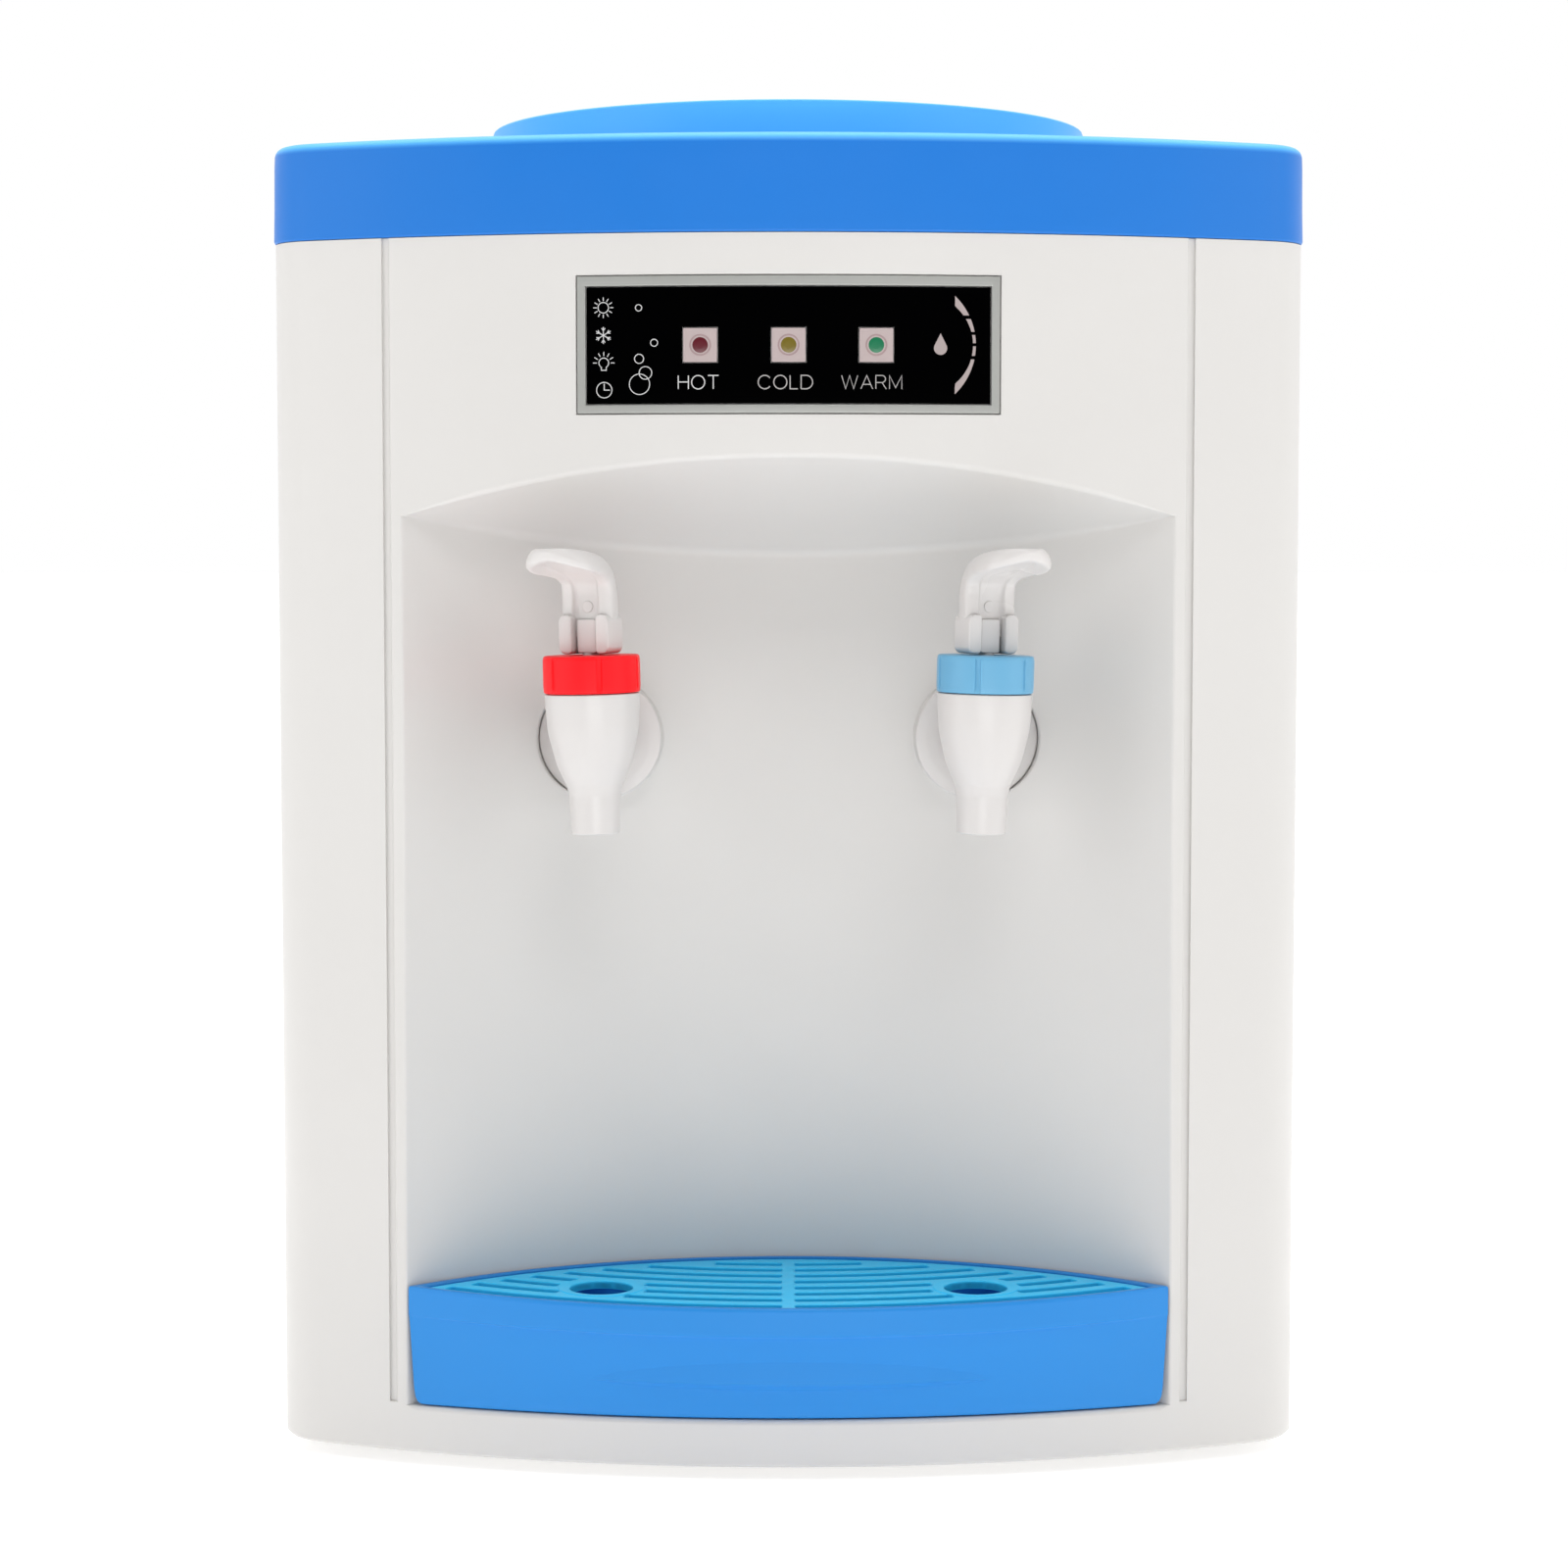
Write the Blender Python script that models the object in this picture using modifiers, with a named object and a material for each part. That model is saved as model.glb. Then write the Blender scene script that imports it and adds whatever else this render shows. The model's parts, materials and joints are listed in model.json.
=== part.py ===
"""A countertop water dispenser: a moulded case with an arched niche, a hot and a cold tap over a drip
tray, a bottle collar in the lid, and the tanks, heater, cooler and electrics inside.

Metres, +Z up, the front faces -Y. The origin is on the table, below the middle of the case.
"""

import math

import bmesh
import bpy
from mathutils import Matrix, Vector

# ------------------------------------------------------------------ driving dimensions (metres)
GAP = 0.0003  # running gap between neighbours
WALL = 0.0025  # wall of the moulded case

HALF_WIDTH = 0.1517
FRONT_Y = -0.1334  # middle of the bowed front
BACK_Y = 0.1436
FRONT_RADIUS = 0.3493
FRONT_CORNER = 0.020
BACK_CORNER = 0.015
SEAM_Y = -0.062  # front and rear shells meet here
SKIRT_Z = 0.004  # lower edge of the case, a foot's height above the table
BAND_Z = 0.018  # top of the base band: the niche floor
BODY_TOP_Z = 0.3591
ARC_CENTRE_Y = FRONT_Y + FRONT_RADIUS

NICHE_HALF_WIDTH = 0.1115
NICHE_RADIUS = 0.164
NICHE_BACK_Y = -0.071
NICHE_CORNER_Z = 0.2792
CEILING_RISE = 0.0166  # front edge of the ceiling, middle over corner
CEILING_DROP = 0.0103  # back edge of the ceiling, middle under corner
CEILING_CROWN = 0.0015
NICHE_CENTRE_Y = NICHE_BACK_Y - NICHE_RADIUS

GROOVE_INNER_X = 0.1154
GROOVE_OUTER_X = 0.1175
GROOVE_DEPTH = 0.0012

LID_OVERHANG = 0.0005
LID_BOTTOM_Z = BODY_TOP_Z + GAP
LID_TOP_Z = 0.3880
COLLAR_RADIUS = 0.094
COLLAR_INNER = 0.0882
COLLAR_TOP_Z = 0.4014
SEAT_LEDGE_Z = 0.3892
LID_HOLE_RADIUS = 0.084

DISPLAY_HALF_WIDTH = 0.0602
DISPLAY_LOW_Z = 0.3082
DISPLAY_HIGH_Z = 0.3470
LENS_HALF_WIDTH = 0.0578
LENS_LOW_Z = 0.3106
LENS_HIGH_Z = 0.3442
LAMP_XS = {"hot": -0.0251, "cold": 0.0, "warm": 0.0249}
LAMP_Z = 0.3274
LAMP_HALF = 0.0048

TAP_X = 0.0564
TAP_Y = -0.1205
TAP_Z = 0.2132
TAP_LEAN = math.radians(1.3)  # each tap's top leans outward
LEVER_YAW = math.radians(25.0)  # each lever points forward and outward
FLANGE_RADIUS = 0.0183
FLANGE_Y = -0.0840
BOSS_Y = FLANGE_Y + 0.0017
BOSS_BACK_Y = -0.0700
INLET_RADIUS = 0.0072
INLET_END = 0.066  # behind the tap's axis
PIVOT_RISE = 0.0323  # lever pin above the inlet's axis
CAP_RADIUS = 0.01405
CAP_LOW = 0.0151
CAP_HIGH = 0.0260
PIN_RADIUS = 0.0015
LEVER_SIDES = 14  # points round the lever arm's section

TRAY_LOW_Z = BAND_Z + GAP
TRAY_TOP_Z = 0.0536
TRAY_STEP_Z = 0.0448
TRAY_CORNER_X = 0.1113
TRAY_CORNER_Y = -0.1153
TRAY_LIP_Y = -0.1466
TRAY_BACK_Y = -0.0714
GRILLE_LOW_Z = 0.0506
GRILLE_HIGH_Z = 0.0534
SLOT_COUNT = 8
SLOT_PITCH = 0.0084
SLOT_HALF = 0.0021
SPINE_HALF = 0.0018
DRAIN_HOLE_X = 0.055
DRAIN_HOLE_Y = -0.115
DRAIN_HOLE_RADIUS = 0.0093
DRAIN_RING_RADIUS = 0.0128

COLD_RADIUS = 0.056
COLD_LOW_Z = 0.228
COLD_TOP_Z = 0.316
TANK_SHEET = 0.0012
FOAM_RADIUS = 0.066
SPOUT_RADIUS = 0.015
COLD_PORT = (0.030, -0.010)
FEED_PORT = (0.010, 0.040)
PORT_END_Z = 0.214
PORT_RADIUS = 0.005
HOSE_RADIUS = 0.0045

HOT_CENTRE_Y = 0.030
HOT_RADIUS = 0.045
HOT_LOW_Z = 0.045
HOT_TOP_Z = 0.150
HOT_OUTLET = (-0.015, 0.020)
HOT_OUTLET_Z = 0.162

COOLER_Z = 0.280
BLOCK_HALF = 0.020
HEATSINK_HALF = 0.045
FAN_FRONT_Y = 0.1060
FAN_BACK_Y = 0.1310
FAN_Z = 0.285
FAN_HALF = 0.046
FAN_BORE = 0.0435

COVER_HALF_WIDTH = 0.1117
COVER_LOW_Z = 0.0303
COVER_HIGH_Z = 0.3457
COVER_FRONT_Y = BACK_Y - 0.0018
REAR_LIMIT_Y = 0.1466  # the deepest of the rear fittings
SWITCH_X = -0.070
SWITCH_Z = 0.070
SWITCH_PIVOT_Y = 0.1385
SWITCH_TILT = math.radians(8.0)
GLAND_X = 0.085
GLAND_Z = 0.048
DRAIN_X = 0.020
DRAIN_Z = 0.048

FOOT_SPOTS = {
    "front_left": (-0.115, -0.070),
    "front_right": (0.115, -0.070),
    "rear_left": (-0.115, 0.112),
    "rear_right": (0.115, 0.112),
}

# ------------------------------------------------------------------ clear scene, collections
for old in list(bpy.data.objects):
    bpy.data.objects.remove(old, do_unlink=True)

PARTS = bpy.data.collections.new("water_dispenser")
CUTTERS = bpy.data.collections.new("cutters")
for group in (PARTS, CUTTERS):
    bpy.context.scene.collection.children.link(group)

# name: (colour, roughness, metallic)
FINISHES = {
    "white_plastic": ((0.80, 0.80, 0.79), 0.35, 0.0),
    "lid_blue": ((0.03, 0.22, 0.74), 0.32, 0.0),
    "tray_blue": ((0.05, 0.31, 0.85), 0.30, 0.0),
    "seat_white": ((0.78, 0.80, 0.82), 0.35, 0.0),
    "tap_white": ((0.88, 0.88, 0.88), 0.25, 0.0),
    "hot_red": ((0.95, 0.04, 0.05), 0.30, 0.0),
    "cold_blue": ((0.22, 0.55, 0.85), 0.30, 0.0),
    "lens_black": ((0.005, 0.005, 0.006), 0.08, 0.0),
    "bezel_silver": ((0.58, 0.60, 0.58), 0.30, 0.6),
    "lamp_white": ((0.75, 0.70, 0.68), 0.30, 0.0),
    "steel": ((0.60, 0.60, 0.62), 0.28, 1.0),
    "aluminium": ((0.70, 0.71, 0.73), 0.35, 1.0),
    "foam": ((0.85, 0.84, 0.78), 0.90, 0.0),
    "silicone": ((0.78, 0.80, 0.80), 0.45, 0.0),
    "rubber": ((0.03, 0.03, 0.03), 0.80, 0.0),
    "black_plastic": ((0.02, 0.02, 0.02), 0.45, 0.0),
    "board_green": ((0.02, 0.20, 0.08), 0.45, 0.0),
    "ceramic": ((0.85, 0.84, 0.80), 0.55, 0.0),
}


def finish_material(name):
    """The Principled material of one finish, made once."""
    known = bpy.data.materials.get(name)
    if known:
        return known
    colour, roughness, metallic = FINISHES[name]
    made = bpy.data.materials.new(name)
    made.use_nodes = True
    shader = made.node_tree.nodes["Principled BSDF"]
    shader.inputs["Base Color"].default_value = (*colour, 1.0)
    shader.inputs["Roughness"].default_value = roughness
    shader.inputs["Metallic"].default_value = metallic
    made.diffuse_color = (*colour, 1.0)
    return made


# ------------------------------------------------------------------ outlines in plan
def spaced(start, end, steps):
    """steps + 1 evenly spaced values, both ends included."""
    return [start + (end - start) * i / steps for i in range(steps + 1)]


def arc(centre, radius, start, end, steps):
    """Points on an arc between two angles in degrees, both ends included."""
    angles = [math.radians(a) for a in spaced(start, end, steps)]
    return [(centre[0] + radius * math.cos(a), centre[1] + radius * math.sin(a)) for a in angles]


def front_surface(x, inset=0.0):
    """y of the bowed front at x, or of a surface behind it."""
    return ARC_CENTRE_Y - math.sqrt((FRONT_RADIUS - inset) ** 2 - x * x)


def front_path(inset):
    """Plan of the front and its two corners, from the left side round to the right side."""
    centre_x = HALF_WIDTH - FRONT_CORNER
    reach = FRONT_RADIUS - FRONT_CORNER
    centre_y = ARC_CENTRE_Y - math.sqrt(reach**2 - centre_x**2)
    sweep = math.degrees(math.asin(centre_x / reach))
    left = arc((-centre_x, centre_y), FRONT_CORNER - inset, 180, 270 - sweep, 5)
    front = arc((0, ARC_CENTRE_Y), FRONT_RADIUS - inset, 270 - sweep, 270 + sweep, 16)
    right = arc((centre_x, centre_y), FRONT_CORNER - inset, 270 + sweep, 360, 5)
    return left + front[1:-1] + right


def rear_path(inset):
    """Plan of the back and its two corners, from the right side round to the left side."""
    centre_x = HALF_WIDTH - BACK_CORNER
    centre_y = BACK_Y - BACK_CORNER
    right = arc((centre_x, centre_y), BACK_CORNER - inset, 0, 90, 4)
    left = arc((-centre_x, centre_y), BACK_CORNER - inset, 90, 180, 4)
    return right + left


def lens_outline(front_y, back_y, corner_x, steps=20):
    """Two arcs that meet in sharp corners, through a front and a back point on the middle line."""

    def one_arc(middle_y):
        sag = TRAY_CORNER_Y - middle_y
        radius = (corner_x**2 + sag**2) / (2 * abs(sag))
        centre_y = middle_y + math.copysign(radius, sag)
        xs = spaced(-corner_x, corner_x, steps)
        return [(x, centre_y - math.copysign(math.sqrt(radius**2 - x * x), sag)) for x in xs]

    return one_arc(front_y) + one_arc(back_y)[-2:0:-1]


# ------------------------------------------------------------------ meshes
def finished(bm, name):
    """A mesh from a bmesh, with its faces turned outwards."""
    bmesh.ops.recalc_face_normals(bm, faces=bm.faces)
    mesh = bpy.data.meshes.new(name)
    bm.to_mesh(mesh)
    bm.free()
    return mesh


def box_mesh(name, low, high, bevel=0.0):
    low, high = Vector(low), Vector(high)
    bm = bmesh.new()
    scale = Matrix.Diagonal((*(high - low), 1.0))
    bmesh.ops.create_cube(bm, size=1.0, matrix=Matrix.Translation((low + high) / 2) @ scale)
    if bevel:
        bmesh.ops.bevel(bm, geom=bm.edges[:], offset=bevel, segments=2, profile=0.5, affect="EDGES")
    return finished(bm, name)


def rod_mesh(name, start, end, radius, sides=24):
    start, end = Vector(start), Vector(end)
    turn = Vector((0, 0, 1)).rotation_difference(end - start).to_matrix().to_4x4()
    place = Matrix.Translation((start + end) / 2) @ turn
    bm = bmesh.new()
    bmesh.ops.create_cone(
        bm,
        cap_ends=True,
        segments=sides,
        radius1=radius,
        radius2=radius,
        depth=(end - start).length,
        matrix=place,
    )
    return finished(bm, name)


def outline_mesh(name, loops, low, high):
    """A flat outline, with its later loops as holes, from height low to height high."""
    curve = bpy.data.curves.new(name, "CURVE")
    curve.dimensions = "2D"
    curve.fill_mode = "BOTH"
    curve.extrude = (high - low) / 2
    for loop in loops:
        spline = curve.splines.new("POLY")
        spline.points.add(len(loop) - 1)
        for point, (x, y) in zip(spline.points, loop):
            point.co = (x, y, 0.0, 1.0)
        spline.use_cyclic_u = True
    holder = bpy.data.objects.new(name, curve)
    CUTTERS.objects.link(holder)
    graph = bpy.context.evaluated_depsgraph_get()
    flat = bpy.data.meshes.new_from_object(holder.evaluated_get(graph))
    bpy.data.objects.remove(holder)
    bpy.data.curves.remove(curve)
    bm = bmesh.new()
    bm.from_mesh(flat)
    bpy.data.meshes.remove(flat)
    bmesh.ops.remove_doubles(bm, verts=bm.verts, dist=1e-6)
    bmesh.ops.translate(bm, verts=bm.verts, vec=(0, 0, (low + high) / 2))
    return finished(bm, name)


def loft_mesh(name, rings):
    """A closed skin through rings that hold the same number of points."""
    bm = bmesh.new()
    rows = [[bm.verts.new(point) for point in ring] for ring in rings]
    for lower, upper in zip(rows, rows[1:]):
        for i in range(len(lower)):
            j = (i + 1) % len(lower)
            bm.faces.new((lower[i], lower[j], upper[j], upper[i]))
    bm.faces.new(rows[0])
    bm.faces.new(rows[-1])
    return finished(bm, name)


def joined_mesh(name, meshes):
    """Several closed meshes as one, for use as a cutter or as a Boolean's other half."""
    bm = bmesh.new()
    for mesh in meshes:
        bm.from_mesh(mesh)
        bpy.data.meshes.remove(mesh)
    return finished(bm, name)


# ------------------------------------------------------------------ objects
def add_object(name, mesh, group, parent=None, location=(0, 0, 0), rotation=(0, 0, 0)):
    made = bpy.data.objects.new(name, mesh)
    group.objects.link(made)
    made.parent = parent
    made.location = location
    made.rotation_euler = rotation
    return made


def add_part(name, mesh, finish, **place):
    mesh.materials.append(finish_material(finish))
    return add_object(name, mesh, PARTS, **place)


def add_cutter(name, mesh, **place):
    made = add_object(name, mesh, CUTTERS, **place)
    made.hide_render = True
    made.display_type = "WIRE"
    return made


def combine(part, operation, mesh, **place):
    """Joins a mesh to a part, or cuts it away, with a Boolean that stays on the part."""
    tool = add_cutter(f"{part.name}_{operation.lower()}_{len(part.modifiers)}", mesh, **place)
    modifier = part.modifiers.new(operation.title(), "BOOLEAN")
    modifier.operation = operation
    modifier.solver = "EXACT"
    modifier.object = tool
    return part


def join(part, mesh, **place):
    return combine(part, "UNION", mesh, **place)


def cut(part, mesh, **place):
    return combine(part, "DIFFERENCE", mesh, **place)


def set_origin(part, point):
    """Puts a part's origin on a point and leaves its shape where it is."""
    part.data.transform(Matrix.Translation(-Vector(point)))
    part.location = point
    return part


def profile_mesh(name, profile):
    """The edge loop that a Screw modifier turns. A loop that meets the axis stays open there."""
    steps = list(zip(profile, profile[1:] + profile[:1]))
    turn = sum(a[0] * b[1] - b[0] * a[1] for a, b in steps)
    if turn > 0:
        profile = profile[::-1]
    on_axis = [i for i, (radius, _) in enumerate(profile) if radius == 0]
    if on_axis:
        first = on_axis[0]
        if len(on_axis) == 2 and (on_axis[0] + 1) % len(profile) == on_axis[1]:
            first = on_axis[1]
        profile = profile[first:] + profile[:first]
    count = len(profile)
    edges = [(i, i + 1) for i in range(count - 1)]
    if not on_axis:
        edges.append((count - 1, 0))
    mesh = bpy.data.meshes.new(name)
    mesh.from_pydata([(radius, 0.0, height) for radius, height in profile], edges, [])
    return mesh


def add_screw(turned, sides):
    modifier = turned.modifiers.new("Turn", "SCREW")
    modifier.axis = "Z"
    modifier.steps = sides
    modifier.render_steps = sides
    modifier.use_merge_vertices = True
    modifier.merge_threshold = 0.00001
    return turned


def add_turned(name, profile, finish, sides=24, **place):
    """A turned part: profile holds (radius, height) points round its half section."""
    return add_screw(add_part(name, profile_mesh(name, profile), finish, **place), sides)


def turned_mesh(name, profile, sides=24):
    """The same as a plain mesh, for joining to a part or cutting from it."""
    holder = add_screw(add_cutter(name, profile_mesh(name, profile)), sides)
    graph = bpy.context.evaluated_depsgraph_get()
    solid = bpy.data.meshes.new_from_object(holder.evaluated_get(graph))
    bpy.data.objects.remove(holder)
    return solid


def add_tube(name, route, radius, finish, parent=None, location=(0, 0, 0)):
    """A round tube along a route of points."""
    curve = bpy.data.curves.new(name, "CURVE")
    curve.dimensions = "3D"
    curve.bevel_depth = radius
    curve.bevel_resolution = 2
    curve.use_fill_caps = True
    spline = curve.splines.new("POLY")
    spline.points.add(len(route) - 1)
    for point, place in zip(spline.points, route):
        point.co = (*place, 1.0)
    curve.materials.append(finish_material(finish))
    return add_object(name, curve, PARTS, parent=parent, location=location)


def smooth_route(points, steps=3):
    """A Catmull-Rom curve through the points, whose first and last spans stay straight."""
    knots = [Vector(point) for point in points]
    route = [knots[0]]
    for a, b, c, d in zip(knots, knots[1:], knots[2:], knots[3:]):
        for i in range(steps):
            t = i / steps
            bend = (2 * b, c - a, 2 * a - 5 * b + 4 * c - d, 3 * b - a - 3 * c + d)
            route.append(0.5 * (bend[0] + bend[1] * t + bend[2] * t**2 + bend[3] * t**3))
    return route + knots[-2:]


def shade_round(part, degrees=35):
    part.data.shade_smooth()
    if part.type == "MESH":
        part.data.set_sharp_from_angle(angle=math.radians(degrees))


# ------------------------------------------------------------------ case
def front_band(name, left, right, low, high, outer, inner, steps=10):
    """A plate that follows the bowed front between two depths behind its surface."""
    xs = spaced(left, right, steps)
    near = [(x, front_surface(x, outer)) for x in xs]
    far = [(x, front_surface(x, inner)) for x in reversed(xs)]
    return outline_mesh(name, [near + far], low, high)


def niche_mesh(name, grow, reach, columns=20):
    """The niche's space, made bigger all round by grow and reaching past the front by reach."""
    rings = []
    for t in spaced(-1.0, 1.0, columns):
        x = t * (NICHE_HALF_WIDTH + 0.6 * grow)
        rise = max(1.0 - t * t, 0.0)
        back = NICHE_CENTRE_Y + math.sqrt((NICHE_RADIUS + grow) ** 2 - x * x)
        top_front = NICHE_CORNER_Z + CEILING_RISE * rise + grow
        top_back = NICHE_CORNER_Z - CEILING_DROP * rise + grow
        edge = front_surface(x) if reach > 0 else front_surface(x) - reach
        crown = (top_front + top_back) / 2 + CEILING_CROWN * rise
        ring = [(x, back, BAND_Z - grow), (x, back, top_back)]
        ring += [(x, (back + edge) / 2, crown), (x, edge, top_front)]
        if reach > 0:
            ring.append((x, edge - reach, top_front))
        ring.append((x, edge - max(reach, 0.0), BAND_Z - grow))
        rings.append(ring)
    return loft_mesh(name, rings)


def make_front_shell():
    side = HALF_WIDTH
    outer = [(-side, SEAM_Y)] + front_path(0.0) + [(side, SEAM_Y)]
    inner = [(-side + WALL, SEAM_Y)] + front_path(WALL) + [(side - WALL, SEAM_Y)]
    wall = outline_mesh("front_shell", [outer + inner[::-1]], SKIRT_Z, BODY_TOP_Z)
    shell = add_part("front_shell", wall, "white_plastic")
    join(shell, niche_mesh("niche_liner", WALL, -0.001))
    backing = FLANGE_RADIUS + 0.0027
    pads = [
        rod_mesh("pad", (x, FLANGE_Y, TAP_Z), (x, BOSS_BACK_Y, TAP_Z), backing, 24)
        for x in (-TAP_X, TAP_X)
    ]
    join(shell, joined_mesh("tap_backing", pads))
    cut(shell, niche_mesh("niche_space", 0.0, 0.030))
    bosses = [
        rod_mesh("boss", (x, BOSS_Y, TAP_Z), (x, BOSS_BACK_Y - 0.0010, TAP_Z), FLANGE_RADIUS, 28)
        for x in (-TAP_X, TAP_X)
    ]
    join(shell, joined_mesh("tap_bosses", bosses))
    recesses = [
        rod_mesh("recess", (x, -0.100, TAP_Z), (x, BOSS_Y, TAP_Z), FLANGE_RADIUS + 0.0005, 28)
        for x in (-TAP_X, TAP_X)
    ]
    cut(shell, joined_mesh("tap_recesses", recesses))
    holes = [
        rod_mesh("inlet_hole", (x, -0.100, TAP_Z), (x, -0.050, TAP_Z), INLET_RADIUS + 0.0005, 16)
        for x in (-TAP_X, TAP_X)
    ]
    cut(shell, joined_mesh("inlet_holes", holes))
    grooves = [
        front_band("groove", left, right, BAND_Z, BODY_TOP_Z + 0.002, -0.003, GROOVE_DEPTH, 2)
        for left, right in ((GROOVE_INNER_X, GROOVE_OUTER_X), (-GROOVE_OUTER_X, -GROOVE_INNER_X))
    ]
    cut(shell, joined_mesh("grooves", grooves))
    half = DISPLAY_HALF_WIDTH + GAP
    low, high = DISPLAY_LOW_Z - GAP, DISPLAY_HIGH_Z + GAP
    cut(shell, front_band("display_recess", -half, half, low, high, -0.003, 0.0015))
    half, low, high = 0.052, LAMP_Z - 0.009, LAMP_Z + 0.009
    cut(shell, front_band("lamp_opening", -half, half, low, high, -0.003, 0.010))
    return shell


def make_rear_shell():
    side = HALF_WIDTH
    start = SEAM_Y + GAP
    outer = [(side, start)] + rear_path(0.0) + [(-side, start)]
    inner = [(side - WALL, start)] + rear_path(WALL) + [(-side + WALL, start)]
    wall = outline_mesh("rear_shell", [outer + inner[::-1]], SKIRT_Z, BODY_TOP_Z)
    shell = add_part("rear_shell", wall, "white_plastic")
    half = COVER_HALF_WIDTH + GAP
    low, high = COVER_LOW_Z - GAP, COVER_HIGH_Z + GAP
    cut(shell, box_mesh("cover_opening", (-half, BACK_Y - 0.01, low), (half, BACK_Y + 0.01, high)))
    rim = 0.006
    back = COVER_FRONT_Y - GAP
    front = back - 0.0034
    frame = box_mesh("ledge", (-half - rim, front, low - rim), (half + rim, back, high + rim))
    join(shell, frame)
    hole_low = (-half + rim, front - 0.01, low + rim)
    hole_high = (half - rim, back + 0.01, high - rim)
    cut(shell, box_mesh("ledge_opening", hole_low, hole_high))
    return shell


def make_rear_cover():
    low = (-COVER_HALF_WIDTH, COVER_FRONT_Y, COVER_LOW_Z)
    high = (COVER_HALF_WIDTH, BACK_Y, COVER_HIGH_Z)
    cover = add_part("rear_cover", box_mesh("rear_cover", low, high), "white_plastic")
    spout_start = (DRAIN_X, 0.132, DRAIN_Z)
    join(cover, rod_mesh("drain_spout", spout_start, (DRAIN_X, BACK_Y - 0.0005, DRAIN_Z), 0.0080))
    cutters = []
    for i in range(12):
        spoke = box_mesh("fan_slot", (0.014, -0.01, -0.0022), (0.039, 0.01, 0.0022))
        turn = Matrix.Rotation(math.tau * i / 12, 4, "Y")
        spoke.transform(Matrix.Translation((0.0, BACK_Y, FAN_Z)) @ turn)
        cutters.append(spoke)
    for i in range(6):
        z = 0.105 + 0.0165 * i
        louvre = box_mesh("louvre", (-0.080, BACK_Y - 0.01, z), (0.080, BACK_Y + 0.01, z + 0.005))
        cutters.append(louvre)
    cut(cover, joined_mesh("vents", cutters))
    near, far = BACK_Y - 0.02, BACK_Y + 0.01
    half_x, half_z = 0.0225, 0.0125
    corner_low = (SWITCH_X - half_x, near, SWITCH_Z - half_z)
    corner_high = (SWITCH_X + half_x, far, SWITCH_Z + half_z)
    holes = [
        box_mesh("switch_hole", corner_low, corner_high),
        rod_mesh("gland_hole", (GLAND_X, near, GLAND_Z), (GLAND_X, far, GLAND_Z), 0.0068),
        rod_mesh("drain_bore", (DRAIN_X, near, DRAIN_Z), (DRAIN_X, far, DRAIN_Z), 0.0050),
    ]
    cut(cover, joined_mesh("cover_holes", holes))
    return cover


def make_base_plate():
    outline = front_path(WALL + GAP) + rear_path(WALL + GAP)
    holes = [arc(spot, 0.0028, 0, 330, 11) for spot in FOOT_SPOTS.values()]
    for i in range(5):
        x = -0.050 + 0.025 * i
        left, right, near, far = x - 0.004, x + 0.004, -0.050, -0.020
        holes.append([(left, near), (right, near), (right, far), (left, far)])
    plate = outline_mesh("base_plate", [outline] + holes, SKIRT_Z, SKIRT_Z + 0.003)
    return add_part("base_plate", plate, "white_plastic")


def make_feet():
    top = SKIRT_Z - GAP
    profile = [(0, 0.0093), (0.0030, 0.0093), (0.0036, 0.0073), (0.0025, 0.0073), (0.0025, top)]
    profile += [(0.0080, top), (0.0080, 0.0008), (0.0074, 0.0), (0, 0.0)]
    for where, (x, y) in FOOT_SPOTS.items():
        add_turned(f"foot_{where}", profile, "rubber", sides=14, location=(x, y, 0))


# ------------------------------------------------------------------ lid and bottle seat
def plan_ring(inset, z):
    return [(x, y, z) for x, y in front_path(inset) + rear_path(inset)]


def make_top_cover():
    over = LID_OVERHANG
    rings = [
        plan_ring(-over, LID_BOTTOM_Z),
        plan_ring(-over, LID_TOP_Z - 0.0050),
        plan_ring(0.0005 - over, LID_TOP_Z - 0.0026),
        plan_ring(0.0024 - over, LID_TOP_Z - 0.0008),
        plan_ring(0.0058 - over, LID_TOP_Z),
    ]
    cover = add_part("top_cover", loft_mesh("top_cover", rings), "lid_blue")
    inside = [plan_ring(0.0022, LID_BOTTOM_Z - 0.010), plan_ring(0.0022, LID_TOP_Z - 0.0025)]
    cut(cover, loft_mesh("lid_inside", inside))
    top = COLLAR_TOP_Z
    collar = [
        (0.0895, top),
        (0.0925, top),
        (0.0936, top - 0.0006),
        (COLLAR_RADIUS, top - 0.0018),
        (COLLAR_RADIUS, 0.3870),
        (LID_HOLE_RADIUS - 0.0010, 0.3870),
        (LID_HOLE_RADIUS - 0.0010, SEAT_LEDGE_Z),
        (COLLAR_INNER, SEAT_LEDGE_Z),
        (COLLAR_INNER, top - 0.0012),
    ]
    join(cover, turned_mesh("collar", collar, 44))
    cut(cover, rod_mesh("bottle_hole", (0, 0, 0.380), (0, 0, 0.410), LID_HOLE_RADIUS, 44))
    return cover


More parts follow.
